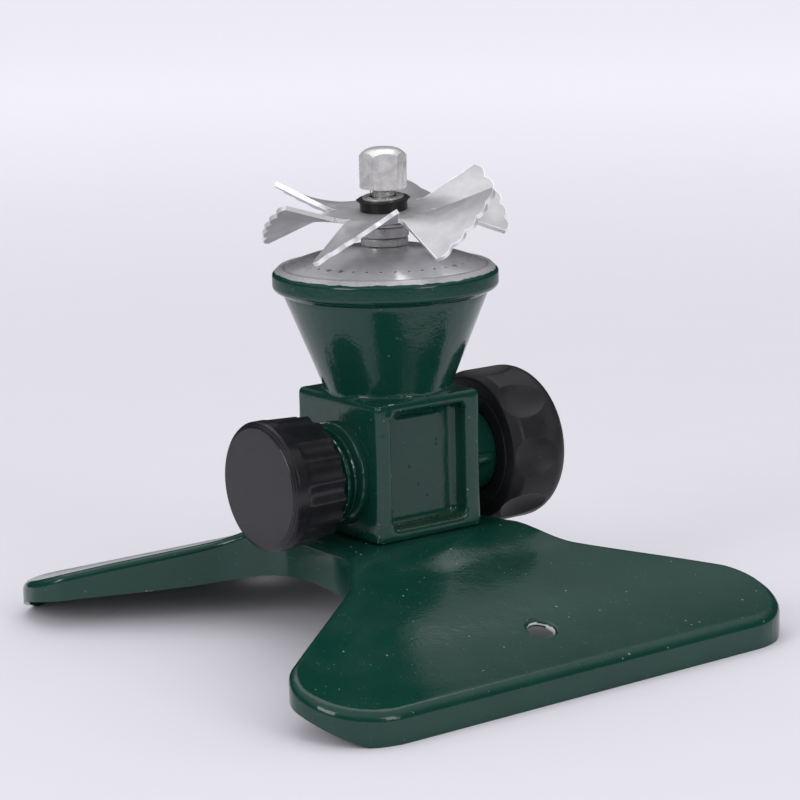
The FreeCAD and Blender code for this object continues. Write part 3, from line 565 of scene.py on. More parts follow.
def build_specks(w, given):
    """Scattered round specks of uneven size."""
    scale = w.maths("DIVIDE", 1 / MM, given["Spacing"])
    cells = w.add("TexVoronoi", {"Vector": given["Place"], "Scale": scale})
    pick = w.add("SeparateColor", {"Color": cells.outputs["Color"]}).outputs
    size = w.maths("MULTIPLY", w.maths("DIVIDE", given["Size"], given["Spacing"]),
                   w.maths("ADD", pick[1], 0.25))
    dot = w.ramp(cells.outputs["Distance"], size, w.maths("MULTIPLY", size, 0.55))
    chosen = w.maths("LESS_THAN", pick[0], given["Share"])
    return {"Mask": w.maths("MULTIPLY", dot, chosen)}


def build_peel(w, given):
    """Orange peel of sprayed enamel, with slow waves under it."""
    peel = w.noise(given["Place"], 0.9, 2.0, 0.45)
    wave = w.noise(given["Place"], 5.5, 1.0)
    return {"Height": w.maths("ADD", w.maths("MULTIPLY", peel, given["Peel"]),
                              w.maths("MULTIPLY", wave, given["Wave"]))}


def build_wear(w, given):
    """Broken up rubbing where the surface bulges."""
    edge = w.add("Attribute", attribute_name="edge_wear").outputs["Fac"]
    breakup = w.noise(given["Place"], 1.1, 5.0, 0.65)
    patches = w.noise(given["Place"], 9.0, 2.0)
    level = w.maths("MULTIPLY", edge, w.maths("MULTIPLY", breakup, patches))
    start = w.maths("SUBTRACT", 0.52, w.maths("MULTIPLY", given["Amount"], 0.45))
    return {"Mask": w.ramp(level, start, w.maths("ADD", start, 0.07))}


def build_rings(w, given):
    """Fine concentric tool marks about the Z axis of the place given."""
    flat = w.add("VectorMath", {0: given["Place"], 1: (1, 1, 0)}, operation="MULTIPLY")
    radius = w.add("VectorMath", {0: flat.outputs[0]}, operation="LENGTH").outputs["Value"]
    along = w.maths("DIVIDE", radius, w.maths("MULTIPLY", given["Pitch"], MM))
    fine = w.add("TexNoise", {"W": along, "Scale": 1.0, "Detail": 3.0, "Roughness": 0.7},
                 noise_dimensions="1D").outputs["Fac"]
    slow = w.add("TexNoise", {"W": along, "Scale": 0.13, "Detail": 1.0},
                 noise_dimensions="1D").outputs["Fac"]
    cloud = w.noise(given["Place"], 6.0, 2.0)
    return {"Height": fine, "Streak": w.maths("MULTIPLY", w.maths("ADD", fine, slow), cloud)}


def build_grain(w, given):
    """Fine leathery grain of moulded plastic or rubber."""
    scale = w.maths("DIVIDE", 1 / MM, given["Size"])
    cells = w.add("TexVoronoi", {"Vector": given["Place"], "Scale": scale},
                  feature="SMOOTH_F1").outputs["Distance"]
    cloud = w.noise(given["Place"], 7.0, 3.0)
    return {"Height": cells, "Cloud": cloud}


def build_marks(w, given):
    """Thin handling scratches that run two ways."""
    marks = []
    for turned_by, seed in ((0.6, 0.03), (-0.9, 0.21)):
        place = w.add("Mapping", {"Vector": given["Place"], "Location": (seed, seed, seed),
                                  "Rotation": (turned_by, turned_by * 0.7, turned_by * 1.7),
                                  "Scale": (1.0, 0.035, 1.0)}).outputs[0]
        lines = w.noise(place, 0.45, 2.0)
        gate = w.noise(given["Place"], 8.0, 2.0)
        marks.append(w.maths("MULTIPLY", w.ramp(lines, 0.70, 0.76),
                             w.ramp(gate, 0.52, 0.62)))
    return {"Mask": w.maths("MULTIPLY", w.maths("MAXIMUM", *marks), given["Amount"])}


def build_dust(w, given):
    """Settled dust: loose specks and soft patches on faces that look up."""
    specks = w.group("Specks", place=given["Place"], spacing=2.6, size=0.32, share=0.35)[0]
    lint = w.group("Specks", place=given["Place"], spacing=0.9, size=0.10, share=0.25)[0]
    look = w.add("SeparateXYZ", {0: w.add("NewGeometry").outputs["Normal"]}).outputs["Z"]
    lying = w.ramp(look, -0.1, 0.8, 0.25, 1.0)
    patch = w.ramp(w.noise(given["Place"], 14.0, 3.0), 0.42, 0.75)
    spread = w.maths("MULTIPLY", w.maths("MAXIMUM", specks, lint), lying)
    film = w.maths("MULTIPLY", w.maths("MULTIPLY", patch, lying), given["Amount"])
    return {"Specks": w.maths("MULTIPLY", spread, given["Amount"]), "Film": film}


def build_effects():
    """All the shared effects."""
    place = ("Place", "Vector", None)
    effect("Specks", [place, ("Spacing", "Float", 2.0), ("Size", "Float", 0.3),
                      ("Share", "Float", 0.5)], [("Mask", "Float")], build_specks)
    effect("Peel", [place, ("Peel", "Float", 1.0), ("Wave", "Float", 1.0)],
           [("Height", "Float")], build_peel)
    effect("Wear", [place, ("Amount", "Float", 0.5)], [("Mask", "Float")], build_wear)
    effect("Rings", [place, ("Pitch", "Float", 0.3)],
           [("Height", "Float"), ("Streak", "Float")], build_rings)
    effect("Grain", [place, ("Size", "Float", 0.4)],
           [("Height", "Float"), ("Cloud", "Float")], build_grain)
    effect("Marks", [place, ("Amount", "Float", 0.5)], [("Mask", "Float")], build_marks)
    effect("Dust", [place, ("Amount", "Float", 0.5)],
           [("Specks", "Float"), ("Film", "Float")], build_dust)


def new_finish(name, roughness=0.5, metallic=0.0):
    """Material with a Principled shader: (material, wiring, shader, object place)."""
    material = bpy.data.materials.new(name)
    material.use_nodes = True
    wiring = Wiring(material.node_tree)
    shader = material.node_tree.nodes["Principled BSDF"]
    shader.inputs["Roughness"].default_value = roughness
    shader.inputs["Metallic"].default_value = metallic
    place = wiring.add("TexCoord").outputs["Object"]
    return material, wiring, shader, place


def relief(w, shader, height, depth, strength=1.0):
    """Bump of a depth in millimetres."""
    bump = w.add("Bump", {"Height": height, "Strength": strength, "Distance": depth * MM})
    w.feed(shader.inputs["Normal"], bump.outputs[0])


def colour(rgb, share=1.0):
    """A setting's colour as a four-part value."""
    return tuple(channel * share for channel in rgb) + (1.0,)


def settings():
    """The finish settings."""
    return bpy.context.scene.sprinkler_finishes


def grime_mask(w, place, level):
    """Crumbs of dirt lying on the ledge at the bottom of a panel."""
    spot = w.add("SeparateXYZ", {0: place}).outputs
    facing = w.add("SeparateXYZ", {0: w.add("NewGeometry").outputs["Normal"]}).outputs["Z"]
    low = w.ramp(spot["Z"], (level + 1.4) * MM, (level + 0.2) * MM)
    inside = w.ramp(w.maths("ABSOLUTE", spot["X"]), 12.0 * MM, 11.0 * MM)
    crumbs = w.ramp(w.noise(place, 0.5, 3.0, 0.6), 0.48, 0.6)
    lying = w.maths("MULTIPLY", w.maths("MULTIPLY", low, inside), w.ramp(facing, 0.2, 0.7))
    return w.maths("MULTIPLY", lying, crumbs)


def bare_mask(w, place, level):
    """Bare metal above a level, with an uneven edge."""
    height = w.add("SeparateXYZ", {0: place}).outputs["Z"]
    jagged = w.maths("MULTIPLY", w.maths("SUBTRACT", w.noise(place, 3.4, 4.0, 0.5), 0.5), 0.001)
    return w.ramp(w.maths("ADD", height, jagged), level * MM, (level + 0.12) * MM)


def make_enamel(name, peel=0.6, wave=0.7, wear=1.0, pits=0.0, bare_above=None, scrapes=0.3,
                grime=None):
    """Glossy bottle green enamel over metal."""
    given = settings()
    material, w, shader, place = new_finish(name, 0.1)
    cloud = w.noise(place, 16.0, 3.0)
    base = w.mix(w.ramp(cloud, 0.3, 0.7), colour(given.enamel, 0.95), colour(given.enamel, 1.06))
    dust = w.group("Dust", place=place, amount=given.dust)
    pit = w.group("Specks", place=place, spacing=3.1, size=0.42, share=pits)[0]
    base = w.mix(w.maths("MULTIPLY", dust["Film"], 0.02), base, (0.45, 0.47, 0.46, 1))
    base = w.mix(w.maths("MULTIPLY", pit, 0.8), base, (0.004, 0.012, 0.009, 1))
    base = w.mix(w.maths("MULTIPLY", dust["Specks"], 0.75), base, (0.5, 0.53, 0.5, 1))
    marks = w.group("Marks", place=place, amount=scrapes)[0]
    base = w.mix(w.maths("MULTIPLY", marks, 0.5), base, (0.25, 0.32, 0.3, 1))
    shader.inputs["Specular IOR Level"].default_value = 0.46
    worn = w.group("Wear", place=place, amount=given.wear * wear)[0]
    if grime is not None:
        base = w.mix(w.maths("MULTIPLY", grime_mask(w, place, grime), 0.5), base,
                     (0.09, 0.065, 0.035, 1))
    if bare_above is not None:
        worn = w.maths("MAXIMUM", worn, bare_mask(w, place, bare_above))
    metal = w.mix(w.noise(place, 0.7, 4.0), (0.42, 0.42, 0.42, 1), (0.72, 0.72, 0.72, 1))
    w.feed(shader.inputs["Base Color"], w.mix(worn, base, metal))
    w.feed(shader.inputs["Metallic"], w.maths("MULTIPLY", worn, BARE))
    rough = w.maths("ADD", 0.09, w.maths("MULTIPLY", w.noise(place, 3.0, 3.0), 0.09))
    rough = w.maths("ADD", rough, w.maths("MULTIPLY", w.maths("MAXIMUM", dust["Specks"], marks),
                                          0.4))
    w.feed(shader.inputs["Roughness"], w.maths("ADD", rough, w.maths("MULTIPLY", worn, 0.25)))
    skin = w.group("Peel", place=place, peel=peel, wave=wave)[0]
    skin = w.maths("SUBTRACT", skin, w.maths("MULTIPLY", w.maths("MAXIMUM", pit, worn), 0.8))
    skin = w.maths("ADD", skin, w.maths("MULTIPLY", dust["Specks"], 0.6))
    relief(w, shader, skin, 0.05)
    return material


def make_turned(name, shade, roughness, pitch, axis_turn=0.0, height=0.012, tarnish=0.15):
    """Turned bare metal with fine rings about its axis."""
    material, w, shader, place = new_finish(name, roughness, TURNED_BARE)
    centred = w.add("Mapping", {"Vector": place, "Rotation": (0, axis_turn, 0)},
                    vector_type="TEXTURE")
    if axis_turn:
        centred.inputs["Location"].default_value = (0, 0, HOSE_AXIS_Z * MM)
    rings = w.group("Rings", place=centred.outputs[0], pitch=pitch)
    marks = w.group("Marks", place=place, amount=0.5)[0]
    cloud = w.ramp(w.noise(place, 4.0, 4.0), 0.35, 0.7)
    dull = w.mix(w.maths("MULTIPLY", cloud, tarnish), shade, colour(shade[:3], 0.45))
    w.feed(shader.inputs["Base Color"], w.mix(w.maths("MULTIPLY", marks, 0.3), dull,
                                              colour(shade[:3], 0.6)))
    rough = w.maths("ADD", roughness, w.maths("MULTIPLY", rings["Streak"], 0.14))
    w.feed(shader.inputs["Roughness"], w.maths("ADD", rough, w.maths("MULTIPLY", marks, 0.15)))
    relief(w, shader, rings["Height"], height)
    return material


def make_sheet(name, shade, roughness, grain, streak=0.1):
    """Rolled or sheared aluminium sheet."""
    material, w, shader, place = new_finish(name, roughness, SHEET_BARE)
    drawn = w.add("Mapping", {"Vector": place, "Rotation": (0, 0, 0.6),
                              "Scale": (1.0, 0.05, 1.0)}).outputs[0]
    lines = w.noise(drawn, grain, 4.0, 0.6)
    cloud = w.noise(place, 5.0, 3.0)
    marks = w.group("Marks", place=place, amount=0.8)[0]
    worn = w.group("Wear", place=place, amount=0.9)[0]
    base = w.mix(w.ramp(cloud, 0.35, 0.7), colour(shade[:3], 0.86), shade)
    base = w.mix(w.maths("MULTIPLY", marks, 0.5), base, colour(shade[:3], 0.55))
    w.feed(shader.inputs["Base Color"], w.mix(worn, base, (0.93, 0.93, 0.94, 1)))
    rough = w.maths("ADD", roughness, w.maths("MULTIPLY", lines, streak))
    w.feed(shader.inputs["Roughness"], w.maths("ADD", rough, w.maths("MULTIPLY", cloud, 0.08)))
    dents = w.noise(place, 3.2, 1.0)
    relief(w, shader, w.maths("ADD", w.maths("MULTIPLY", lines, 0.4), dents), 0.03)
    return material


def make_plated(name, shade, roughness, wear=0.6):
    """Bright plated steel, rubbed on its corners."""
    material, w, shader, place = new_finish(name, roughness, BARE)
    worn = w.group("Wear", place=place, amount=wear)[0]
    marks = w.group("Marks", place=place, amount=0.9)[0]
    pits = w.group("Specks", place=place, spacing=1.1, size=0.14, share=0.3)[0]
    cloud = w.noise(place, 2.4, 4.0)
    base = w.mix(w.ramp(cloud, 0.35, 0.72), shade, colour(shade[:3], 0.72))
    base = w.mix(w.maths("MAXIMUM", pits, w.maths("MULTIPLY", marks, 0.6)), base,
                 colour(shade[:3], 0.4))
    w.feed(shader.inputs["Base Color"], w.mix(worn, base, (0.9, 0.89, 0.87, 1)))
    rough = w.maths("ADD", roughness, w.maths("MULTIPLY", cloud, 0.16))
    w.feed(shader.inputs["Roughness"], w.maths("ADD", rough, w.maths("MULTIPLY", marks, 0.2)))
    relief(w, shader, w.maths("SUBTRACT", w.noise(place, 1.3, 2.0), pits), 0.02)
    return material


def make_moulded(name, shade, roughness, grain, depth, scuff=0.3, dust=0.4):
    """Moulded plastic or rubber with a fine grain, scuffs and dust."""
    material, w, shader, place = new_finish(name, roughness)
    texture = w.group("Grain", place=place, size=grain)
    shader.inputs["Specular IOR Level"].default_value = 0.36
    marks = w.group("Marks", place=place, amount=scuff)[0]
    lying = w.group("Dust", place=place, amount=dust)
    worn = w.group("Wear", place=place, amount=0.55)[0]
    base = w.mix(w.ramp(texture["Cloud"], 0.3, 0.7), colour(shade, 0.85), colour(shade, 1.2))
    base = w.mix(w.maths("MULTIPLY", worn, 0.35), base, colour(shade, 4.0))
    base = w.mix(w.maths("MULTIPLY", marks, 0.5), base, (0.09, 0.09, 0.095, 1))
    base = w.mix(w.maths("MULTIPLY", lying["Film"], 0.03), base, (0.4, 0.4, 0.42, 1))
    w.feed(shader.inputs["Base Color"],
           w.mix(w.maths("MULTIPLY", lying["Specks"], 0.55), base, (0.42, 0.42, 0.42, 1)))
    rough = w.maths("ADD", roughness, w.maths("MULTIPLY", texture["Cloud"], 0.14))
    w.feed(shader.inputs["Roughness"], w.maths("SUBTRACT", rough, w.maths("MULTIPLY", worn, 0.1)))
    relief(w, shader, texture["Height"], depth)
    return material


FINISHES = {
    "green_stand": lambda: make_enamel("green_stand", 0.5, 0.9, 0.7, scrapes=0.5),
    "green_casting": lambda: make_enamel("green_casting", 0.9, 0.8, 0.9, pits=0.09,
                                          grime=CROWN_Z + PANEL_BOTTOM_FRAME),
    "green_rim": lambda: make_enamel("green_rim", 0.6, 0.7, 0.5, bare_above=RIM_TOP_Z + 0.6),
    "green_thread": lambda: make_enamel("green_thread", 0.5, 0.4, 1.1, scrapes=0.6),
    "spun_disc": lambda: make_turned("spun_disc", colour(settings().aluminium), 0.13, 0.35),
    "sheet_rotor": lambda: make_sheet("sheet_rotor", colour(settings().aluminium, 0.76), 0.3, 0.35),
    "sheared_edge": lambda: make_sheet("sheared_edge", (0.9, 0.9, 0.91, 1), 0.4, 0.2, 0.2),
    "turned_steel": lambda: make_turned("turned_steel", (0.62, 0.61, 0.6, 1), 0.2, 0.2,
                                        tarnish=0.5),
    "bright_plate": lambda: make_plated("bright_plate", (0.88, 0.87, 0.86, 1), 0.2),
    "cut_metal": lambda: make_plated("cut_metal", (0.85, 0.84, 0.83, 1), 0.45),
    "zinc_plate": lambda: make_plated("zinc_plate", (0.55, 0.54, 0.5, 1), 0.28),
    "black_bush": lambda: make_moulded("black_bush", (0.008, 0.008, 0.008), 0.3, 0.3, 0.02),
    "cap_gloss": lambda: make_moulded("cap_gloss", settings().plastic, 0.17, 0.5, 0.006),
    "grip_skin": lambda: make_moulded("grip_skin", settings().rubber, 0.4, 0.45, 0.03,
                                        0.5, 0.7),
    "core_nylon": lambda: make_moulded("core_nylon", (0.02, 0.02, 0.021), 0.35, 0.6, 0.015),
    "seal_black": lambda: make_moulded("seal_black", (0.03, 0.028, 0.026), 0.6, 0.3, 0.03),
    "turned_brass": lambda: make_turned("turned_brass", colour(settings().brass), 0.25, 0.25,
                                      TURN / 4, tarnish=0.4),
    "screen_wire": lambda: make_plated("screen_wire", (0.6, 0.6, 0.58, 1), 0.25),
}


def finish(name):
    """A material of the sprinkler, made the first time that it is asked for."""
    return bpy.data.materials.get(name) or FINISHES[name]()


# --- Stand ---


def stand_plan():
    """Outline of the stand as one face, at the height of the blank's top."""
    quarter = [(WAIST_HALF_X, WAIST_CORNER_Y, WAIST_CORNER_R),
               (STAND_HALF_X, SIDE_CORNER_Y, SIDE_CORNER_R),
               (STAND_HALF_X, STAND_HALF_Y, STAND_CORNER_R)]
    corners = quarter + [(-x, y, r) for x, y, r in reversed(quarter)]
    corners += [(-x, -y, r) for x, y, r in quarter]
    corners += [(x, -y, r) for x, y, r in reversed(quarter)]
    bm = bmesh.new()
    verts = [bm.verts.new((x, y, STAND_BLANK)) for x, y, _ in corners]
    for i, vert in enumerate(verts):
        bm.edges.new((vert, verts[(i + 1) % len(verts)]))
    for vert, (_, _, rounding) in zip(verts, corners):
        round_corner(bm, vert, rounding, 14)
    bmesh.ops.contextual_create(bm, geom=bm.edges[:])
    return bm


def slice_up(bm, axis, places):
    """Cut a mesh across an axis at several places, so that it can bend there."""
    for place in places:
        bmesh.ops.bisect_plane(bm, geom=bm.verts[:] + bm.edges[:] + bm.faces[:],
                               plane_co=axis * place, plane_no=axis, dist=1e-4)


def steps_between(low, high, step):
    """Evenly spaced places from low to high."""
    count = max(1, round((high - low) / step))
    return [low + (high - low) * i / count for i in range(count + 1)]


def stand_shell(edge, wall):
    """Pressed arch with a turned-down rim, bent over its formers and pierced."""
    top_line = line_through([(CROWN_HALF_Y, CROWN_Z)] + SLOPE + [TOE], 0.0, TOE_SLOPE)
    rim_line = line_through(RIM_EDGE, 0.0, RIM_END_SLOPE)
    bm = stand_plan()
    outline = bm.edges[:]
    skirt = bmesh.ops.extrude_edge_only(bm, edges=outline)["geom"]
    low = [item for item in skirt if isinstance(item, bmesh.types.BMVert)]
    bmesh.ops.translate(bm, vec=(0, 0, -STAND_BLANK), verts=low)
    bmesh.ops.recalc_face_normals(bm, faces=bm.faces)
    upper = [e for e in bm.edges if len(e.link_faces) == 2
             and all(v.co.z > STAND_BLANK - 0.01 for v in e.verts)]
    bmesh.ops.bevel(bm, geom=upper, offset=edge, offset_type="OFFSET", segments=6,
                    profile=0.5, affect="EDGES", material=-1, clamp_overlap=False)
    slice_up(bm, UP, (2.4, 5.0))
    slice_up(bm, Vector((0, 1, 0)), steps_between(-STAND_HALF_Y + 1, STAND_HALF_Y - 1, 2.4))
    slice_up(bm, ALONG, steps_between(-STAND_HALF_X + 2, STAND_HALF_X - 2, 8.0))
    bend(bm, edge, top_line, rim_line)
    bmesh.ops.recalc_face_normals(bm, faces=bm.faces)
    bm.normal_update()
    if sum(face.normal.z * face.calc_area() for face in bm.faces) < 0:
        bmesh.ops.reverse_faces(bm, faces=bm.faces)
    bm = shaped_by(bm, ("SOLIDIFY", {"thickness": wall, "offset": -1.0,
                                     "use_even_offset": True}))
    tools = [stake_cutter(side, top_line) for side in (-1, 1)]
    for side in (-1, 1):
        tools.append(move(lathe([(0, CROWN_Z - 6, 0), (SCREW_HOLE_R, CROWN_Z - 6, 0),
                                 (SCREW_HOLE_R, CROWN_Z + 2, 0), (0, CROWN_Z + 2, 0)],
                                48, closed=False), x=side * SCREW_X))
    return bare_hole_walls(combine(bm, join(*tools)))


def bend(bm, edge, top_line, rim_line):
    """Stretch the blank between the arch's upper line and the rim's lower line."""
    shoulder = STAND_BLANK - edge
    for vert in bm.verts:
        y = abs(vert.co.y)
        share = min(1.0, vert.co.z / shoulder)
        high = top_line(y) - edge
        low = rim_line(y)
        vert.co.z = low + (high - low) * share + max(0.0, vert.co.z - shoulder)


def bare_hole_walls(bm):
    """Give the walls of the stake holes the second finish."""
    bm.normal_update()
    for face in bm.faces:
        middle = face.calc_center_median()
        off = math.hypot(middle.x, abs(middle.y) - STAKE_HOLE_Y)
        if off < STAKE_HOLE_R + 0.15 and abs(face.normal.z) < 0.6:
            face.material_index = 1
    return bm


def stake_cutter(side, top_line):
    """Cutter for a stake hole with a rounded lip, square to the slope."""
    y = STAKE_HOLE_Y
    height = top_line(y)
    lean = math.atan2(top_line(y - 1) - top_line(y + 1), 2)
    flare = 1.1
    arc = [(STAKE_HOLE_R + flare * (1 - math.cos(a)), -flare + flare * math.sin(a), 0)
           for a in (TURN * i / 32 for i in range(9))]
    bm = lathe([(0, -8, 0), (STAKE_HOLE_R, -8, 0)] + arc
               + [(STAKE_HOLE_R + flare, 4, 0), (0, 4, 0)], 64, closed=False)
    turn(bm, -lean * side, "X")
    return move(bm, y=side * y, z=height)


class SPRINKLER_OT_stand(bpy.types.Operator):
    """Build the arched stand"""
    bl_idname = "sprinkler.stand"
    bl_label = "Stand"

    def execute(self, context):
        sizes = context.scene.sprinkler_sizes
        bm = stand_shell(sizes.stand_edge / MM, sizes.stand_wall / MM)
        piece("stand_shell", bm, BODY,
              [finish("green_stand"), finish("cut_metal")], ["stand_base"], sharp=40)
        return {"FINISHED"}


# --- Casting ---


def panelled_block():
    """Block with softened edges and a recessed panel on its front and back."""
    bm = bmesh.new()
    bmesh.ops.create_cube(bm, size=1.0)
    size = (2 * BLOCK_HALF_X, 2 * BLOCK_HALF_Y, BLOCK_TOP_Z - CROWN_Z)
    bmesh.ops.scale(bm, vec=size, verts=bm.verts)
    move(bm, z=(BLOCK_TOP_Z + CROWN_Z) / 2)
    half_x = BLOCK_HALF_X - PANEL_SIDE_FRAME
    low = CROWN_Z + PANEL_BOTTOM_FRAME
    high = BLOCK_TOP_Z - PANEL_TOP_FRAME
    slice_up(bm, ALONG, (-half_x, half_x))
    slice_up(bm, UP, (low, high))
    for side in (-1, 1):
        sink_panel(bm, side, half_x, low, high)
    outer = [e for e in bm.edges if len(e.link_faces) == 2 and e.calc_face_angle(0.0) > 1.2
             and on_block_edge(e)]
    bmesh.ops.bevel(bm, geom=outer, offset=BLOCK_EDGE_R, segments=4, profile=0.5,
                    affect="EDGES", material=-1, offset_type="OFFSET")
    bmesh.ops.recalc_face_normals(bm, faces=bm.faces)
    return bm


def sink_panel(bm, side, half_x, low, high):
    """Push a panel into the front or back of the block and round its corners."""
    panel = [f for f in bm.faces if abs(f.normal.y - side) < 0.01
             and abs(f.calc_center_median().x) < half_x
             and low < f.calc_center_median().z < high]
    floor = bmesh.ops.extrude_face_region(bm, geom=panel)["geom"]
    bmesh.ops.delete(bm, geom=panel, context="FACES")
    verts = [item for item in floor if isinstance(item, bmesh.types.BMVert)]
    bmesh.ops.translate(bm, vec=(0, -side * PANEL_DEPTH, 0), verts=verts)
    inner = side * (BLOCK_HALF_Y - PANEL_DEPTH)
    corners = [e for e in bm.edges
               if abs(abs(e.verts[0].co.x) - half_x) < 1e-3
               and any(abs(v.co.y - inner) < 1e-3 for v in e.verts)
               and all(low - 1e-3 < v.co.z < high + 1e-3 for v in e.verts)
               and abs(e.verts[0].co.y - e.verts[1].co.y) > 1]
    bmesh.ops.bevel(bm, geom=corners, offset=PANEL_CORNER_R, segments=4, profile=0.5,
                    affect="EDGES", material=-1, offset_type="OFFSET")
    floor_edges = [e for e in bm.edges if all(abs(v.co.y - inner) < 1e-3 for v in e.verts)
                   and e.calc_face_angle(0.0) > 0.5]
    bmesh.ops.bevel(bm, geom=floor_edges, offset=PANEL_FLOOR_R, segments=6, profile=0.5,
                    affect="EDGES", material=-1, offset_type="OFFSET")


def on_block_edge(edge):
    """Does this edge lie on one of the block's twelve outer edges?"""
    def outside(vert):
        return (abs(abs(vert.co.x) - BLOCK_HALF_X) < 1e-3,
                abs(abs(vert.co.y) - BLOCK_HALF_Y) < 1e-3,
                min(abs(vert.co.z - CROWN_Z), abs(vert.co.z - BLOCK_TOP_Z)) < 1e-3)
    first, second = (outside(vert) for vert in edge.verts)
    return sum(a and b for a, b in zip(first, second)) >= 2


def casting_hollow():
    """Waterway through the block and up into the bell, with the tailpiece's socket."""
    slope = (BELL_NECK_R - BELL_FOOT_R) / (BELL_NECK_Z - BLOCK_TOP_Z)
    inner_foot = BELL_FOOT_R - BELL_WALL
    bell = lathe([(0, HOSE_AXIS_Z, 0), (THROAT_R, HOSE_AXIS_Z, 0),
                  (THROAT_R, HOSE_AXIS_Z + WATERWAY_R, 0), (inner_foot, BLOCK_TOP_Z, 0),
                  (SEAT_R, BLOCK_TOP_Z + (SEAT_R - inner_foot) / slope, 0),
                  (SEAT_R, RIM_TOP_Z, 0), (0, RIM_TOP_Z, 0)], 64, closed=False)
    pipe = rod(WATERWAY_R, -SPIGOT_END_X - 2, BOSS_END_X + 2)
    socket = rod(TAIL_R, BOSS_END_X - 10, BOSS_END_X + 2)
    along = combine(at_hose_axis(pipe, 1), at_hose_axis(socket, 1), "UNION")
    return combine(bell, along, "UNION")


def rod(radius, low, high, rounding=0.0, steps=64):
    """Solid round bar about Z."""
    return lathe([(0, low, 0), (radius, low, rounding), (radius, high, rounding),
                  (0, high, 0)], steps, closed=False)


def casting_body(grain, voxel):
    """Block, bell, boss and spigot core run together as in a mould."""
    slope = (BELL_NECK_R - BELL_FOOT_R) / (BELL_NECK_Z - BLOCK_TOP_Z)
    sunk = 5.0
    inside_rim = RIM_BOTTOM_Z + 1.0
    bell = lathe([(0, BLOCK_TOP_Z - sunk, 0), (BELL_FOOT_R - slope * sunk, BLOCK_TOP_Z - sunk, 0),
                  (BELL_NECK_R, BELL_NECK_Z, 0.8), (BELL_NECK_R + 0.5, inside_rim, 0),
                  (0, inside_rim, 0)], 96, closed=False)
    boss = at_hose_axis(rod(BOSS_R, BLOCK_HALF_X - 3, BOSS_END_X), 1)
    rib = bmesh.new()
    bmesh.ops.create_cube(rib, size=1.0)
    bmesh.ops.scale(rib, vec=(8.2, 2 * (BOSS_R + 1.7), 2.8), verts=rib.verts)
    move(rib, x=BLOCK_HALF_X + 4.0, z=HOSE_AXIS_Z)
    spigot = at_hose_axis(rod(THREAD_ROOT_R - 1.2, BLOCK_HALF_X - 3, SPIGOT_END_X - 1.5), -1)
    bm = panelled_block()
    for part in (bell, boss, rib, spigot):
        bm = combine(bm, part, "UNION", tangled=True)
    bm = combine(bm, casting_hollow(), tangled=True)
    bm = shaped_by(bm, ("REMESH", {"mode": "VOXEL", "voxel_size": voxel}))
    for _ in range(3):
        bmesh.ops.smooth_vert(bm, verts=bm.verts, factor=0.5, use_axis_x=True,
                              use_axis_y=True, use_axis_z=True)
    uneven(bm, grain, 6.0, 3)
    for x, below, reach, height in BLOCK_LUMPS:
        lump_on(bm, Vector((x, -BLOCK_HALF_Y, BLOCK_TOP_Z - below)), reach, height)
    return bm


def lump_on(bm, centre, reach, height):
    """Raise a small round run of metal."""
    for vert in bm.verts:
        share = 1.0 - (vert.co - centre).length / reach
        if share > 0:
            vert.co += vert.normal * height * share * share * (3 - 2 * share)


def bell_rim():
    """Thick rim with its bare rounded lip and the disc's seat."""
    return lathe([(SEAT_R - 0.4, RIM_BOTTOM_Z - 1.2, 0), (BELL_NECK_R - 0.3, BELL_NECK_Z + 0.2, 0),
                  (BELL_NECK_R + 0.6, BELL_NECK_Z + 1.1, 0.5),
                  (RIM_R, RIM_BOTTOM_Z + 0.4, 1.5), (RIM_R, RIM_TOP_Z, 0.9),
                  (DISC_R + 1.35, LIP_Z, 0.7), (MOUTH_R, LIP_Z, 0.3),
                  (MOUTH_R, SEAT_Z, 0), (SEAT_R - 0.4, SEAT_Z, 0)], 192, round_steps=6)


def outlet_thread():
    """Threaded end of the outlet with its shoulder, chamfered at the end."""
    shoulder = BLOCK_HALF_X + 1.6
    tube = lathe([(WATERWAY_R, BLOCK_HALF_X - 1.5, 0), (SHOULDER_R, BLOCK_HALF_X - 1.5, 0),
                  (SHOULDER_R, shoulder, 0.6), (THREAD_ROOT_R, shoulder + 0.9, 0.3),
                  (THREAD_ROOT_R, SPIGOT_END_X - 1, 0.2), (THREAD_ROOT_R - 1, SPIGOT_END_X, 0.2),
                  (WATERWAY_R, SPIGOT_END_X, 0.3)], 144)
    start = shoulder + 0.4
    turns = (SPIGOT_END_X - 2.2 - start) / THREAD_PITCH
    ridge = helix_ridge(THREAD_ROOT_R, THREAD_CREST_R, start, turns, steps=96)
    bm = join(tube, ridge)
    for angle, reach in SHOULDER_RUNS:
        centre = Vector((SHOULDER_R * math.cos(angle), SHOULDER_R * math.sin(angle), shoulder))
        lump_on(bm, centre, reach * 1.6, 0.3)
    return at_hose_axis(bm, -1)


class SPRINKLER_OT_casting(bpy.types.Operator):
    """Build the casting: block, bell, rim, outlet and inlet boss"""
    bl_idname = "sprinkler.casting"
    bl_label = "Casting"

    def execute(self, context):
        grain = context.scene.sprinkler_sizes.cast_grain / MM
        piece("cast_body", casting_body(grain, CAST_CELL), BODY,
              [finish("green_casting")], ["body_casting"], sharp=180, even=False)
        piece("bell_rim", bell_rim(), BODY, [finish("green_rim")],
              ["body_casting"])
        piece("outlet_thread", outlet_thread(), BODY,
              [finish("green_thread")], ["body_casting"])
        return {"FINISHED"}


# --- Disc and spindle ---


def dome_z(radius, sphere=DISC_SPHERE_R):
    """Height of the disc's dome at a distance from the spindle."""
    return DISC_CENTRE_Z + math.sqrt(sphere ** 2 - radius ** 2)


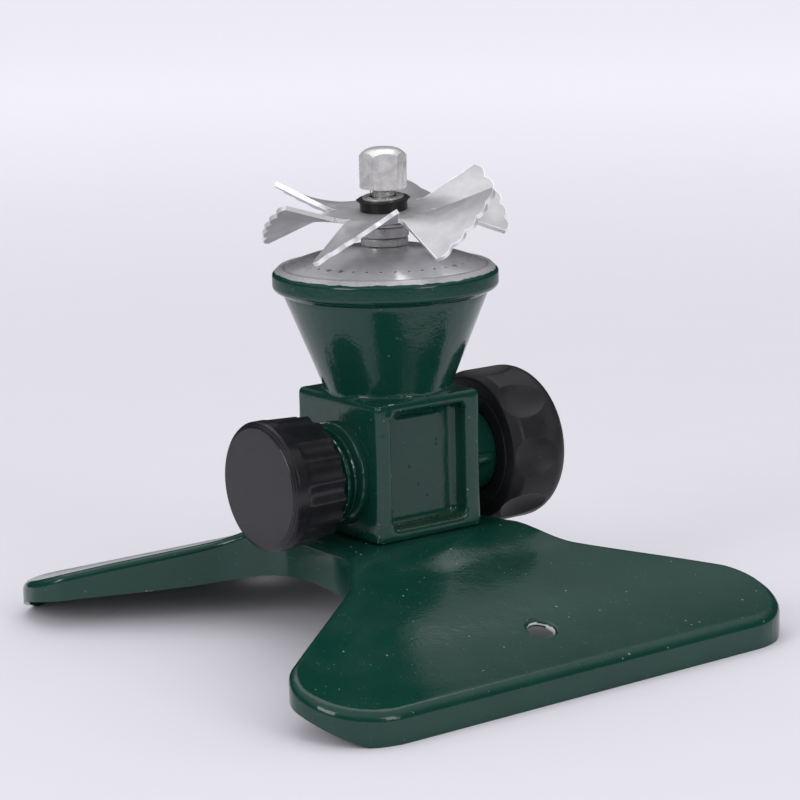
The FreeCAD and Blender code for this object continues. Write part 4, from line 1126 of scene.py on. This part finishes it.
def jet_dome():
    """Thin spun dome with its circle of jets."""
    inner = STUD_R + 0.1
    radii = steps_between(inner, DISC_R, 1.1)
    upper = [(r, dome_z(r), 0) for r in radii]
    lower = [(r, dome_z(r, DISC_SPHERE_R - DISC_WALL), 0) for r in reversed(radii)]
    bm = lathe(upper + lower, 160)
    lean = math.asin(JET_CIRCLE_R / DISC_SPHERE_R)
    drills = []
    for i in range(JET_COUNT):
        radius = WIDE_JET_R if i in WIDE_JETS else JET_R
        drill = rod(radius, DISC_SPHERE_R - 3, DISC_SPHERE_R + 1, steps=20)
        turn(drill, lean, "Y")
        turn(drill, i * TURN / JET_COUNT + JET_PHASE, "Z")
        drills.append(move(drill, z=DISC_CENTRE_Z))
    return combine(bm, join(*drills))


def follow_sphere(obj):
    """Give the dome the true normals of its sphere, apart from the jets' walls."""
    centre = Vector((0, 0, DISC_CENTRE_Z * MM))
    mesh = obj.data
    normals = []
    for polygon in mesh.polygons:
        for index in polygon.vertices:
            out = (mesh.vertices[index].co - centre).normalized()
            facing = polygon.normal.dot(out)
            if abs(facing) > 0.9:
                normals.append(out if facing > 0 else -out)
            else:
                normals.append(polygon.normal.copy())
    mesh.normals_split_custom_set(normals)


def acorn():
    """Hexagon nut with a chamfered, domed top."""
    low, high = ACORN_LOW.z, ACORN_HIGH.z
    corner = ACORN_FLATS / math.sqrt(3)
    hexagon = bmesh.new()
    bmesh.ops.create_cone(hexagon, cap_ends=True, segments=6, radius1=corner, radius2=corner,
                          depth=high - low)
    move(hexagon, z=(low + high) / 2)
    dome = [(r, high - ACORN_RISE * (r / corner) ** 3.5, 0)
            for r in steps_between(0.0, corner + 0.05, 0.4)]
    envelope = lathe([(0, low, 0), (corner - 0.5, low, 0), (corner + 0.05, low + 0.4, 0)]
                     + dome[::-1], 128, closed=False)
    bm = combine(hexagon, envelope, "INTERSECT")
    bm = combine(bm, rod(STUD_R, low - 1, STUD_HIGH.z, steps=48))
    bmesh.ops.dissolve_limit(bm, angle_limit=0.01, verts=bm.verts, edges=bm.edges)
    return shaped_by(bm, ("BEVEL", {"width": 0.12, "segments": 2, "limit_method": "ANGLE",
                                    "angle_limit": math.radians(24)}))


def stud():
    """Stud with a cut thread where it shows round the rotor and the nut."""
    low, high = STUD_LOW.z, STUD_HIGH.z
    bar = lathe([(0, low, 0), (STUD_R - 0.4, low, 0), (STUD_R - 0.35, low + 0.4, 0),
                 (STUD_R - 0.35, high - 0.5, 0), (STUD_R - 0.7, high, 0), (0, high, 0)],
                48, closed=False)
    start = CLAMP_HIGH.z - 1.5
    turns = (high - 0.6 - start) / 1.0
    thread = fine_thread(STUD_R - 0.4, STUD_R, start, turns, 1.0)
    return join(bar, thread)


def fine_thread(foot_r, crest_r, start, turns, pitch):
    """Close V thread about Z."""
    bm = chain([(foot_r, -0.42 * pitch, 0), (crest_r, -0.06 * pitch, 0),
                (crest_r, 0.06 * pitch, 0), (foot_r, 0.42 * pitch, 0)])
    coil(bm, pitch, turns, 36)
    return closed_coil(bm, start)


class SPRINKLER_OT_spindle(bpy.types.Operator):
    """Build the jet disc, the stud and the rings on it"""
    bl_idname = "sprinkler.spindle"
    bl_label = "Disc and spindle"

    def execute(self, context):
        dome = piece("jet_dome", jet_dome(), BODY, [finish("spun_disc")],
                     ["jet_disc"], even=False)
        follow_sphere(dome)
        piece("stud_thread", stud(), BODY, [finish("turned_steel")],
              ["spindle_stud"])
        nut = lathe([(STUD_R, CLAMP_LOW.z, 0.1), (CLAMP_HIGH.x, CLAMP_LOW.z, 0.15),
                     (CLAMP_HIGH.x, CLAMP_HIGH.z, 0.6), (STUD_R, CLAMP_HIGH.z, 0.1)])
        piece("clamp_ring", nut, BODY, [finish("turned_steel")],
              ["disc_clamp_nut"])
        collar = ring(STUD_R, COLLAR_HIGH.x, COLLAR_LOW.z, COLLAR_HIGH.z, 0.35)
        piece("collar_ring", collar, BODY, [finish("turned_steel")],
              ["spacer_collar"])
        piece("top_nut", acorn(), BODY, [finish("bright_plate")],
              ["acorn_nut"], sharp=28)
        washer = ring(STUD_R + 0.5, THRUST_HIGH.x, THRUST_LOW.z, THRUST_HIGH.z, 0.15)
        piece("thrust_ring", washer, "thrust_washer", [finish("turned_steel")],
              ["thrust_washer"])
        return {"FINISHED"}


# --- Rotor ---


def leaned(bm):
    """Lean a rotor piece from level to the way it rests."""
    axis = Vector((-math.sin(LEAN_AZIMUTH), math.cos(LEAN_AZIMUTH), 0))
    bmesh.ops.rotate(bm, cent=PIVOT, matrix=Matrix.Rotation(ROTOR_TILT, 3, axis),
                     verts=bm.verts)
    return bm


def tip_radius(share):
    """Distance of the scalloped tip from the spindle across a blade, from -1 to 1."""
    step = 2 * BLADE_TIP_HALF_ANGLE / SCALLOPS
    angle = share * BLADE_TIP_HALF_ANGLE
    lobe = min(SCALLOPS - 1, max(0, math.floor((angle + BLADE_TIP_HALF_ANGLE) / step)))
    off = math.radians(angle - (lobe - (SCALLOPS - 1) / 2) * step)
    centre = BLADE_TIP_R - LOBE_R
    inside = LOBE_R ** 2 - (centre * math.sin(off)) ** 2
    reach = centre * math.cos(off) + math.sqrt(max(0.0, inside))
    return max(BLADE_TIP_R - 1.0, reach)


def blade_grid(first_angle, draw):
    """One blade as a grid, bent up on one side and down on the other."""
    rows = BLADE_ROWS
    bm = bmesh.new()
    bmesh.ops.create_grid(bm, x_segments=rows, y_segments=BLADE_COLUMNS, size=1.0)
    nicks = [draw.uniform(-1, 1) for _ in range(2 * (rows + 1))]
    rough = draw.choice((0.02, 0.09, 0.04))
    whole = math.sqrt(1 + BLADE_BEND ** 2) - BLADE_BEND
    for vert in bm.verts:
        out = (vert.co.x + 1) / 2
        across = vert.co.y
        row = round(out * rows)
        root_turn = math.radians(across * BLADE_ROOT_HALF_ANGLE)
        tip_turn = math.radians(across * BLADE_TIP_HALF_ANGLE)
        root = Vector((math.cos(root_turn), math.sin(root_turn), 0)) * BLADE_ROOT_R
        tip = Vector((math.cos(tip_turn), math.sin(tip_turn), 0)) * BLADE_TIP_R
        out *= (tip_radius(across) - BLADE_ROOT_R) / (BLADE_TIP_R - BLADE_ROOT_R)
        place = root.lerp(tip, out)
        if abs(across) > 0.999 and 0 < row < rows:
            side = Vector((-math.sin(root_turn), math.cos(root_turn), 0))
            place += side * nicks[row * 2 + (across > 0)] * rough
        rise = (math.sqrt(out * out + BLADE_BEND ** 2) - BLADE_BEND) / whole
        place.z = BLADE_HALF_RISE * across * rise
        vert.co = place
    return turn(bm, math.radians(first_angle), "Z")


def hub_grid():
    """Flat hub as a ring of grid cells whose rim meets the blades' roots."""
    per_blade = BLADE_COLUMNS
    angles = []
    for blade in range(BLADE_COUNT):
        middle = BLADE_FIRST_ANGLE + blade * 360 / BLADE_COUNT
        angles += [middle + BLADE_ROOT_HALF_ANGLE * (2 * i / per_blade - 1)
                   for i in range(per_blade + 1)]
    bm = bmesh.new()
    bmesh.ops.create_circle(bm, segments=len(angles), radius=1.0)
    bm.verts.ensure_lookup_table()
    for vert, angle in zip(bm.verts, angles):
        vert.co = Vector((math.cos(math.radians(angle)), math.sin(math.radians(angle)), 0))
        vert.co *= HUB_BORE_R
    rim = bm.edges[:]
    for radius in steps_between(HUB_BORE_R, BLADE_ROOT_R, 1.7)[1:]:
        made = bmesh.ops.extrude_edge_only(bm, edges=rim)["geom"]
        rim = [item for item in made if isinstance(item, bmesh.types.BMEdge)]
        for vert in (item for item in made if isinstance(item, bmesh.types.BMVert)):
            vert.co = vert.co.normalized() * radius
    return bm


def rotor(sheet):
    """Pressed rotor: hub and six blades, sheared from one sheet."""
    draw = random.Random(11)
    grids = [hub_grid()]
    for blade in range(BLADE_COUNT):
        grids.append(blade_grid(BLADE_FIRST_ANGLE + blade * 360 / BLADE_COUNT, draw))
    bm = join(*grids)
    bmesh.ops.remove_doubles(bm, verts=bm.verts, dist=0.02)
    bmesh.ops.recalc_face_normals(bm, faces=bm.faces)
    bm.normal_update()
    if sum(face.normal.z for face in bm.faces) < 0:
        bmesh.ops.reverse_faces(bm, faces=bm.faces)
    uneven(bm, 0.08, 9.0, 5, lambda co: min(1.0, max(0.0, math.hypot(co.x, co.y) - 12) / 8))
    move(bm, z=SHEET_Z)
    bm = shaped_by(bm, ("SOLIDIFY", {"thickness": sheet, "offset": 1.0,
                                     "material_offset_rim": 1}))
    return leaned(bm)


def bush():
    """Flanged bush clamped through the hub, its flange trimmed roughly."""
    bore = STUD_R + 0.5
    seat = SHEET_Z + 1.2
    under = BUSH_TOP_Z - BUSH_FLANGE
    bm = lathe([(bore, BUSH_LOW_Z, 0.15), (BUSH_FOOT_R, BUSH_LOW_Z, 0.25),
                (BUSH_FOOT_R, SHEET_Z, 0.1), (BUSH_WAIST_R, SHEET_Z, 0),
                (BUSH_WAIST_R, seat, 0), (BUSH_NECK_R, seat, 0.1), (BUSH_NECK_R, under, 0.1),
                (BUSH_FLANGE_R, under, 0.1), (BUSH_FLANGE_R, BUSH_TOP_Z, 0.15),
                (bore, BUSH_TOP_Z, 0.1)], 144)
    for vert in bm.verts:
        radius = math.hypot(vert.co.x, vert.co.y)
        if radius > 6.9:
            rag = noise.fractal(Vector((vert.co.x, vert.co.y, 0)) * 1.1, 0.6, 2.2, 4)
            angle = math.degrees(math.atan2(vert.co.y, vert.co.x))
            burr = max(math.exp(-((angle - at) / wide) ** 2) for at, wide in BURRS)
            cut = 1 - (0.015 * max(0.0, rag) + 0.045 * (1 - burr))
            vert.co.x *= cut
            vert.co.y *= cut
    return leaned(bm)


class SPRINKLER_OT_rotor(bpy.types.Operator):
    """Build the rotor, its bush and the washer on it"""
    bl_idname = "sprinkler.rotor"
    bl_label = "Rotor"

    def execute(self, context):
        sheet = context.scene.sprinkler_sizes.rotor_sheet / MM
        piece("rotor_vanes", rotor(sheet), "rotor",
              [finish("sheet_rotor"), finish("sheared_edge")], ["rotor_blades"], sharp=40)
        piece("rotor_bearing", bush(), "rotor", [finish("black_bush")],
              ["rotor_bush"])
        washer = leaned(ring(STUD_R + 0.5, 5.6, BUSH_TOP_Z, BUSH_TOP_Z + 0.6, 0.15))
        piece("top_ring", washer, "top_washer", [finish("turned_steel")],
              ["top_washer"])
        return {"FINISHED"}


# --- Cap ---


def cap():
    """Screw cap, fluted round its side, with fine steps round its face."""
    face, start = CAP_FACE_X, CAP_OPEN_X
    band = face - CAP_BAND
    inside = [(0, face - CAP_FLOOR, 0), (CAP_BORE_R, face - CAP_FLOOR, 0.4)]
    corners = inside + [(CAP_BORE_R, start, 0.2), (CAP_OPEN_R, start, 0.5)]
    corners += [(CAP_OPEN_R + (CAP_FACE_R - CAP_OPEN_R) * (x - start) / (band - start), x, 0)
                for x in steps_between(start + 1.2, band - 0.6, 1.1)]
    corners += [(CAP_FACE_R, band, 0), (CAP_FACE_R, band + 1.0, 0), (CAP_FACE_R, face - 1.5, 0.5),
                (CAP_FACE_R - 0.45, face - 0.75, 0.15), (CAP_FACE_R - 0.75, face - 0.7, 0.1),
                (CAP_FACE_R - 1.0, face - 0.3, 0.12), (CAP_FACE_R - 1.35, face - 0.25, 0.1),
                (CAP_FACE_R - 1.6, face, 0.15), (CAP_FACE_R - 4.0, face, 0), (0, face, 0)]
    bm = chain(corners, closed=False, steps=3)
    spin(bm, CAP_FLUTES * 14)
    for vert in bm.verts:
        radius = math.hypot(vert.co.x, vert.co.y)
        if radius < CAP_OPEN_R - 0.9 or vert.co.z > band + 0.05:
            continue
        angle = math.atan2(vert.co.y, vert.co.x)
        wave = 0.5 - 0.5 * math.cos(angle * CAP_FLUTES)
        share = min(1.0, max(0.0, (band - vert.co.z) / 0.9))
        cut = (radius - CAP_FLUTE_DEPTH * share * wave ** 0.7) / radius
        vert.co.x *= cut
        vert.co.y *= cut
        if vert.co.z < start + 0.6:
            vert.co.z += 0.5 * wave * min(1.0, max(0.0, (radius - CAP_BORE_R) / 2))
    spigot_start = BLOCK_HALF_X + 2.0
    whole = math.ceil((CAP_OPEN_X + 1 - spigot_start) / THREAD_PITCH)
    ridge = helix_ridge(CAP_BORE_R, THREAD_ROOT_R + 0.3,
                        spigot_start + (whole + 0.5) * THREAD_PITCH, 4.2, steps=72)
    return at_hose_axis(join(bm, ridge), -1)


class SPRINKLER_OT_cap(bpy.types.Operator):
    """Build the outlet's screw cap"""
    bl_idname = "sprinkler.cap"
    bl_label = "Outlet cap"

    def execute(self, context):
        piece("screw_cap", cap(), "end_cap", [finish("cap_gloss")],
              ["end_cap"], sharp=30)
        return {"FINISHED"}


# --- Swivel nut ---


def grip():
    """Soft grip with eight finger scoops and large shoulders."""
    web = NUT_WEB_X
    bm = lathe([(BOSS_R + 0.5, NUT_NEAR_X, 0.15), (16.2, NUT_NEAR_X, 0.2),
                (16.5, NUT_NEAR_X + 0.25, 0.15), (NUT_R - 1.6, NUT_NEAR_X + 0.3, 0.9),
                (NUT_R, NUT_NEAR_X + 3.0, 2.2), (NUT_R, NUT_FAR_X, NUT_SHOULDER_R),
                (NUT_CORE_R + 0.6, NUT_FAR_X, 0.3), (NUT_CORE_R, NUT_FAR_X - 0.5, 0.1),
                (NUT_CORE_R, web, 0), (BOSS_R + 0.5, web, 0)], 192, round_steps=8)
    scoops = []
    for i in range(NUT_SCOOPS):
        scoop = bmesh.new()
        bmesh.ops.create_uvsphere(scoop, u_segments=96, v_segments=64, radius=NUT_SCOOP_R)
        bmesh.ops.scale(scoop, vec=(1, 1, 1.35), verts=scoop.verts)
        move(scoop, x=NUT_R - NUT_SCOOP_DEPTH + NUT_SCOOP_R, z=NUT_NEAR_X + 5.6)
        turn(scoop, i * TURN / NUT_SCOOPS, "Z")
        scoops.append(scoop)
    for scoop in scoops:
        bm = combine(bm, scoop)
    return at_hose_axis(bm, 1)


def core():
    """Rigid core of the nut with its hose thread."""
    web = NUT_WEB_X
    bore = TAIL_R + 0.08
    thread_root = THREAD_CREST_R + 0.25
    bm = lathe([(bore, web, 0.1), (NUT_CORE_R, web, 0.1), (NUT_CORE_R, NUT_FAR_X - 0.6, 0.2),
                (thread_root, NUT_FAR_X - 0.6, 0.35), (thread_root, NUT_THREAD_X, 0),
                (NUT_RELIEF_R, NUT_THREAD_X, 0), (NUT_RELIEF_R, web + NUT_WEB, 0.2),
                (bore, web + NUT_WEB, 0.1)], 144)
    turns = (NUT_FAR_X - 1.6 - NUT_THREAD_X - 0.6) / THREAD_PITCH
    ridge = helix_ridge(thread_root, NUT_MINOR_R, NUT_THREAD_X + 0.6, turns, steps=96)
    return at_hose_axis(join(bm, ridge), 1)


def screen(wire):
    """Woven wire screen in a thin rim."""
    near, far = SCREEN_LOW.x, SCREEN_HIGH.x
    middle = (near + far) / 2
    rim_r = SCREEN_HIGH.y
    rim = ring(rim_r - 1.1, rim_r, near, far, 0.15, 72)
    strands = [rim]
    pitch = SCREEN_PITCH
    reach = int((rim_r - 1.0) / pitch)
    for way in (0, 1):
        for i in range(-reach, reach + 1):
            off = i * pitch
            half = math.sqrt((rim_r - 0.7) ** 2 - off * off)
            count = max(2, round(2 * half / pitch * 4))
            strand = bmesh.new()
            bmesh.ops.create_circle(strand, segments=6, radius=wire / 2, cap_ends=False)
            turn(strand, TURN / 4, "Y")
            move(strand, x=-half)
            bmesh.ops.spin(strand, geom=strand.verts[:] + strand.edges[:], cent=(0, 0, 0),
                           axis=UP, dvec=(2 * half / count, 0, 0), angle=0, steps=count,
                           use_merge=False, use_duplicate=False)
            bmesh.ops.holes_fill(strand, edges=strand.edges, sides=0)
            bmesh.ops.recalc_face_normals(strand, faces=strand.faces)
            for vert in strand.verts:
                phase = math.pi * (vert.co.x / pitch + i + way)
                vert.co.z += wire * 0.4 * math.cos(phase) * (1 if way else -1)
            move(strand, y=off)
            turn(strand, way * TURN / 4, "Z")
            strands.append(move(strand, z=middle))
    return at_hose_axis(join(*strands), 1)


class SPRINKLER_OT_swivel(bpy.types.Operator):
    """Build the swivel hose nut and its screen"""
    bl_idname = "sprinkler.swivel"
    bl_label = "Swivel hose nut"

    def execute(self, context):
        wire = context.scene.sprinkler_sizes.screen_wire / MM
        piece("nut_grip", grip(), "swivel_nut", [finish("grip_skin")],
              ["swivel_grip"], sharp=13)
        piece("nut_core", core(), "swivel_nut", [finish("core_nylon")],
              ["swivel_core"])
        piece("woven_screen", screen(wire), "swivel_nut",
              [finish("screen_wire")], ["inlet_screen"])
        return {"FINISHED"}


# --- Pieces kept as they are ---


KEPT_FINISHES = {
    "base_screws": "zinc_plate",
    "base_washers": "zinc_plate",
    "disc_gasket": "seal_black",
    "stud_o_ring": "seal_black",
    "cap_washer": "seal_black",
    "hose_washer": "seal_black",
    "swivel_tailpiece": "turned_brass",
}


class SPRINKLER_OT_fittings(bpy.types.Operator):
    """Finish the screws, seals and tailpiece"""
    bl_idname = "sprinkler.fittings"
    bl_label = "Screws, seals and tailpiece"

    def execute(self, context):
        for node, name in KEPT_FINISHES.items():
            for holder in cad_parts[node].material_slots:
                holder.material = finish(name)
        return {"FINISHED"}


# --- Stage ---


def backdrop(shade):
    """Wide pale floor, painted lighter further away as painted light, and painted black far out in
    glossy rays as a painted dark reflection of a dim room.
    """
    bm = bmesh.new()
    bmesh.ops.create_grid(bm, x_segments=8, y_segments=8, size=7.0)
    mesh = bpy.data.meshes.new("floor")
    bm.to_mesh(mesh)
    bm.free()
    material, w, shader, place = new_finish("pale_floor", 0.6)
    away = w.add("VectorMath", {0: place}, operation="LENGTH").outputs["Value"]
    far = w.ramp(away, 0.3, 0.85)
    mirrored = w.add("LightPath").outputs["Is Glossy Ray"]
    # Painted reflection: beyond 0.3 m the floor turns black for glossy rays only, so glossy parts
    # show a painted dark reflection.
    painted_dark_reflection = w.maths("MULTIPLY", w.maths("MULTIPLY", far, mirrored), 0.93)
    paper_tone_and_painted_light = w.mix(w.noise(place, 40.0, 3.0), colour(shade, 0.825), colour(shade, 0.845))
    # Painted light: the floor's colour grows lighter from 0.3 m to 1.8 m away, in place of brighter
    # light on the far floor.
    paper_tone_and_painted_light = w.mix(w.ramp(away, 0.3, 1.8), paper_tone_and_painted_light, colour(shade, 1.2))
    w.feed(shader.inputs["Base Color"], w.mix(painted_dark_reflection, paper_tone_and_painted_light, (0, 0, 0, 1)))
    shader.inputs["Specular IOR Level"].default_value = 0.1
    mesh.materials.append(material)
    obj = bpy.data.objects.new("floor", mesh)
    bpy.context.scene.collection.objects.link(obj)


def room():
    """Surroundings: even light all round, but dark walls in glossy surfaces."""
    world = bpy.data.worlds.new("studio")
    world.use_nodes = True
    w = Wiring(world.node_tree)
    back = world.node_tree.nodes["Background"]
    up = w.add("SeparateXYZ", {0: w.add("TexCoord").outputs["Generated"]}).outputs["Z"]
    ceiling = w.ramp(up, 0.35, 0.85)
    seen = w.mix(ceiling, (0.02, 0.02, 0.022, 1), (0.62, 0.62, 0.66, 1))
    mirrored = w.add("LightPath").outputs["Is Glossy Ray"]
    w.feed(back.inputs["Color"], w.mix(mirrored, (0.95, 0.945, 0.99, 1), seen))
    back.inputs["Strength"].default_value = 1.0
    bpy.context.scene.world = world


def softbox(name, place, target, size, power, tint=(1, 1, 1)):
    """Rectangular light that faces a target."""
    light = bpy.data.lights.new(name, "AREA")
    light.shape = "RECTANGLE"
    light.size, light.size_y = size
    light.energy = power
    light.color = tint
    obj = bpy.data.objects.new(name, light)
    obj.location = place
    way = Vector(target) - Vector(place)
    obj.rotation_euler = way.to_track_quat("-Z", "Y").to_euler()
    bpy.context.scene.collection.objects.link(obj)
    return obj


class SPRINKLER_OT_stage(bpy.types.Operator):
    """Set out the floor, the lights and the camera"""
    bl_idname = "sprinkler.stage"
    bl_label = "Stage, lights and camera"

    def execute(self, context):
        given = context.scene.sprinkler_stage
        backdrop(given.backdrop)
        middle = (0, 0, 0.06)
        softbox("key", (-1.15, -0.18, 0.62), middle, (0.45, 0.6), given.key)
        softbox("fill", (0.12, -1.2, 0.5), middle, (0.4, 0.55), given.key * 0.7)
        softbox("top", (0.25, 0.45, 1.4), middle, (1.3, 1.0), given.top)
        room()
        context.scene.view_settings.view_transform = "Standard"
        camera = bpy.data.cameras.new("camera")
        camera.lens = given.lens
        camera.sensor_width = 36.0
        camera.clip_start = 0.01
        holder = bpy.data.objects.new("camera", camera)
        holder.matrix_world = Matrix(CAMERA)
        context.scene.collection.objects.link(holder)
        context.scene.camera = holder
        return {"FINISHED"}


# --- Add-on ---


BUILDERS = [SPRINKLER_OT_stand, SPRINKLER_OT_casting, SPRINKLER_OT_spindle,
            SPRINKLER_OT_rotor, SPRINKLER_OT_cap, SPRINKLER_OT_swivel,
            SPRINKLER_OT_fittings, SPRINKLER_OT_stage]


class SPRINKLER_PT_panel(bpy.types.Panel):
    """Sizes, colours and builders of the sprinkler"""
    bl_idname = "SPRINKLER_PT_panel"
    bl_label = "Sprinkler"
    bl_space_type = "VIEW_3D"
    bl_region_type = "UI"
    bl_category = "Sprinkler"

    def draw(self, context):
        for group in (context.scene.sprinkler_sizes, context.scene.sprinkler_finishes,
                      context.scene.sprinkler_stage):
            box = self.layout.box()
            for key in group.__annotations__:
                box.prop(group, key)
        for builder in BUILDERS:
            self.layout.operator(builder.bl_idname)


CLASSES = [SprinklerSizes, SprinklerFinishes, SprinklerStage] + BUILDERS + [SPRINKLER_PT_panel]


def register():
    for item in CLASSES:
        bpy.utils.register_class(item)
    bpy.types.Scene.sprinkler_sizes = bpy.props.PointerProperty(type=SprinklerSizes)
    bpy.types.Scene.sprinkler_finishes = bpy.props.PointerProperty(type=SprinklerFinishes)
    bpy.types.Scene.sprinkler_stage = bpy.props.PointerProperty(type=SprinklerStage)


def unregister():
    for name in ("sprinkler_sizes", "sprinkler_finishes", "sprinkler_stage"):
        delattr(bpy.types.Scene, name)
    for item in reversed(CLASSES):
        bpy.utils.unregister_class(item)


def main():
    """Build the sprinkler."""
    register()
    build_effects()
    bpy.ops.sprinkler.stand()
    bpy.ops.sprinkler.casting()
    bpy.ops.sprinkler.spindle()
    bpy.ops.sprinkler.rotor()
    bpy.ops.sprinkler.cap()
    bpy.ops.sprinkler.swivel()
    bpy.ops.sprinkler.fittings()
    bpy.ops.sprinkler.stage()


if __name__ == "__main__":
    main()
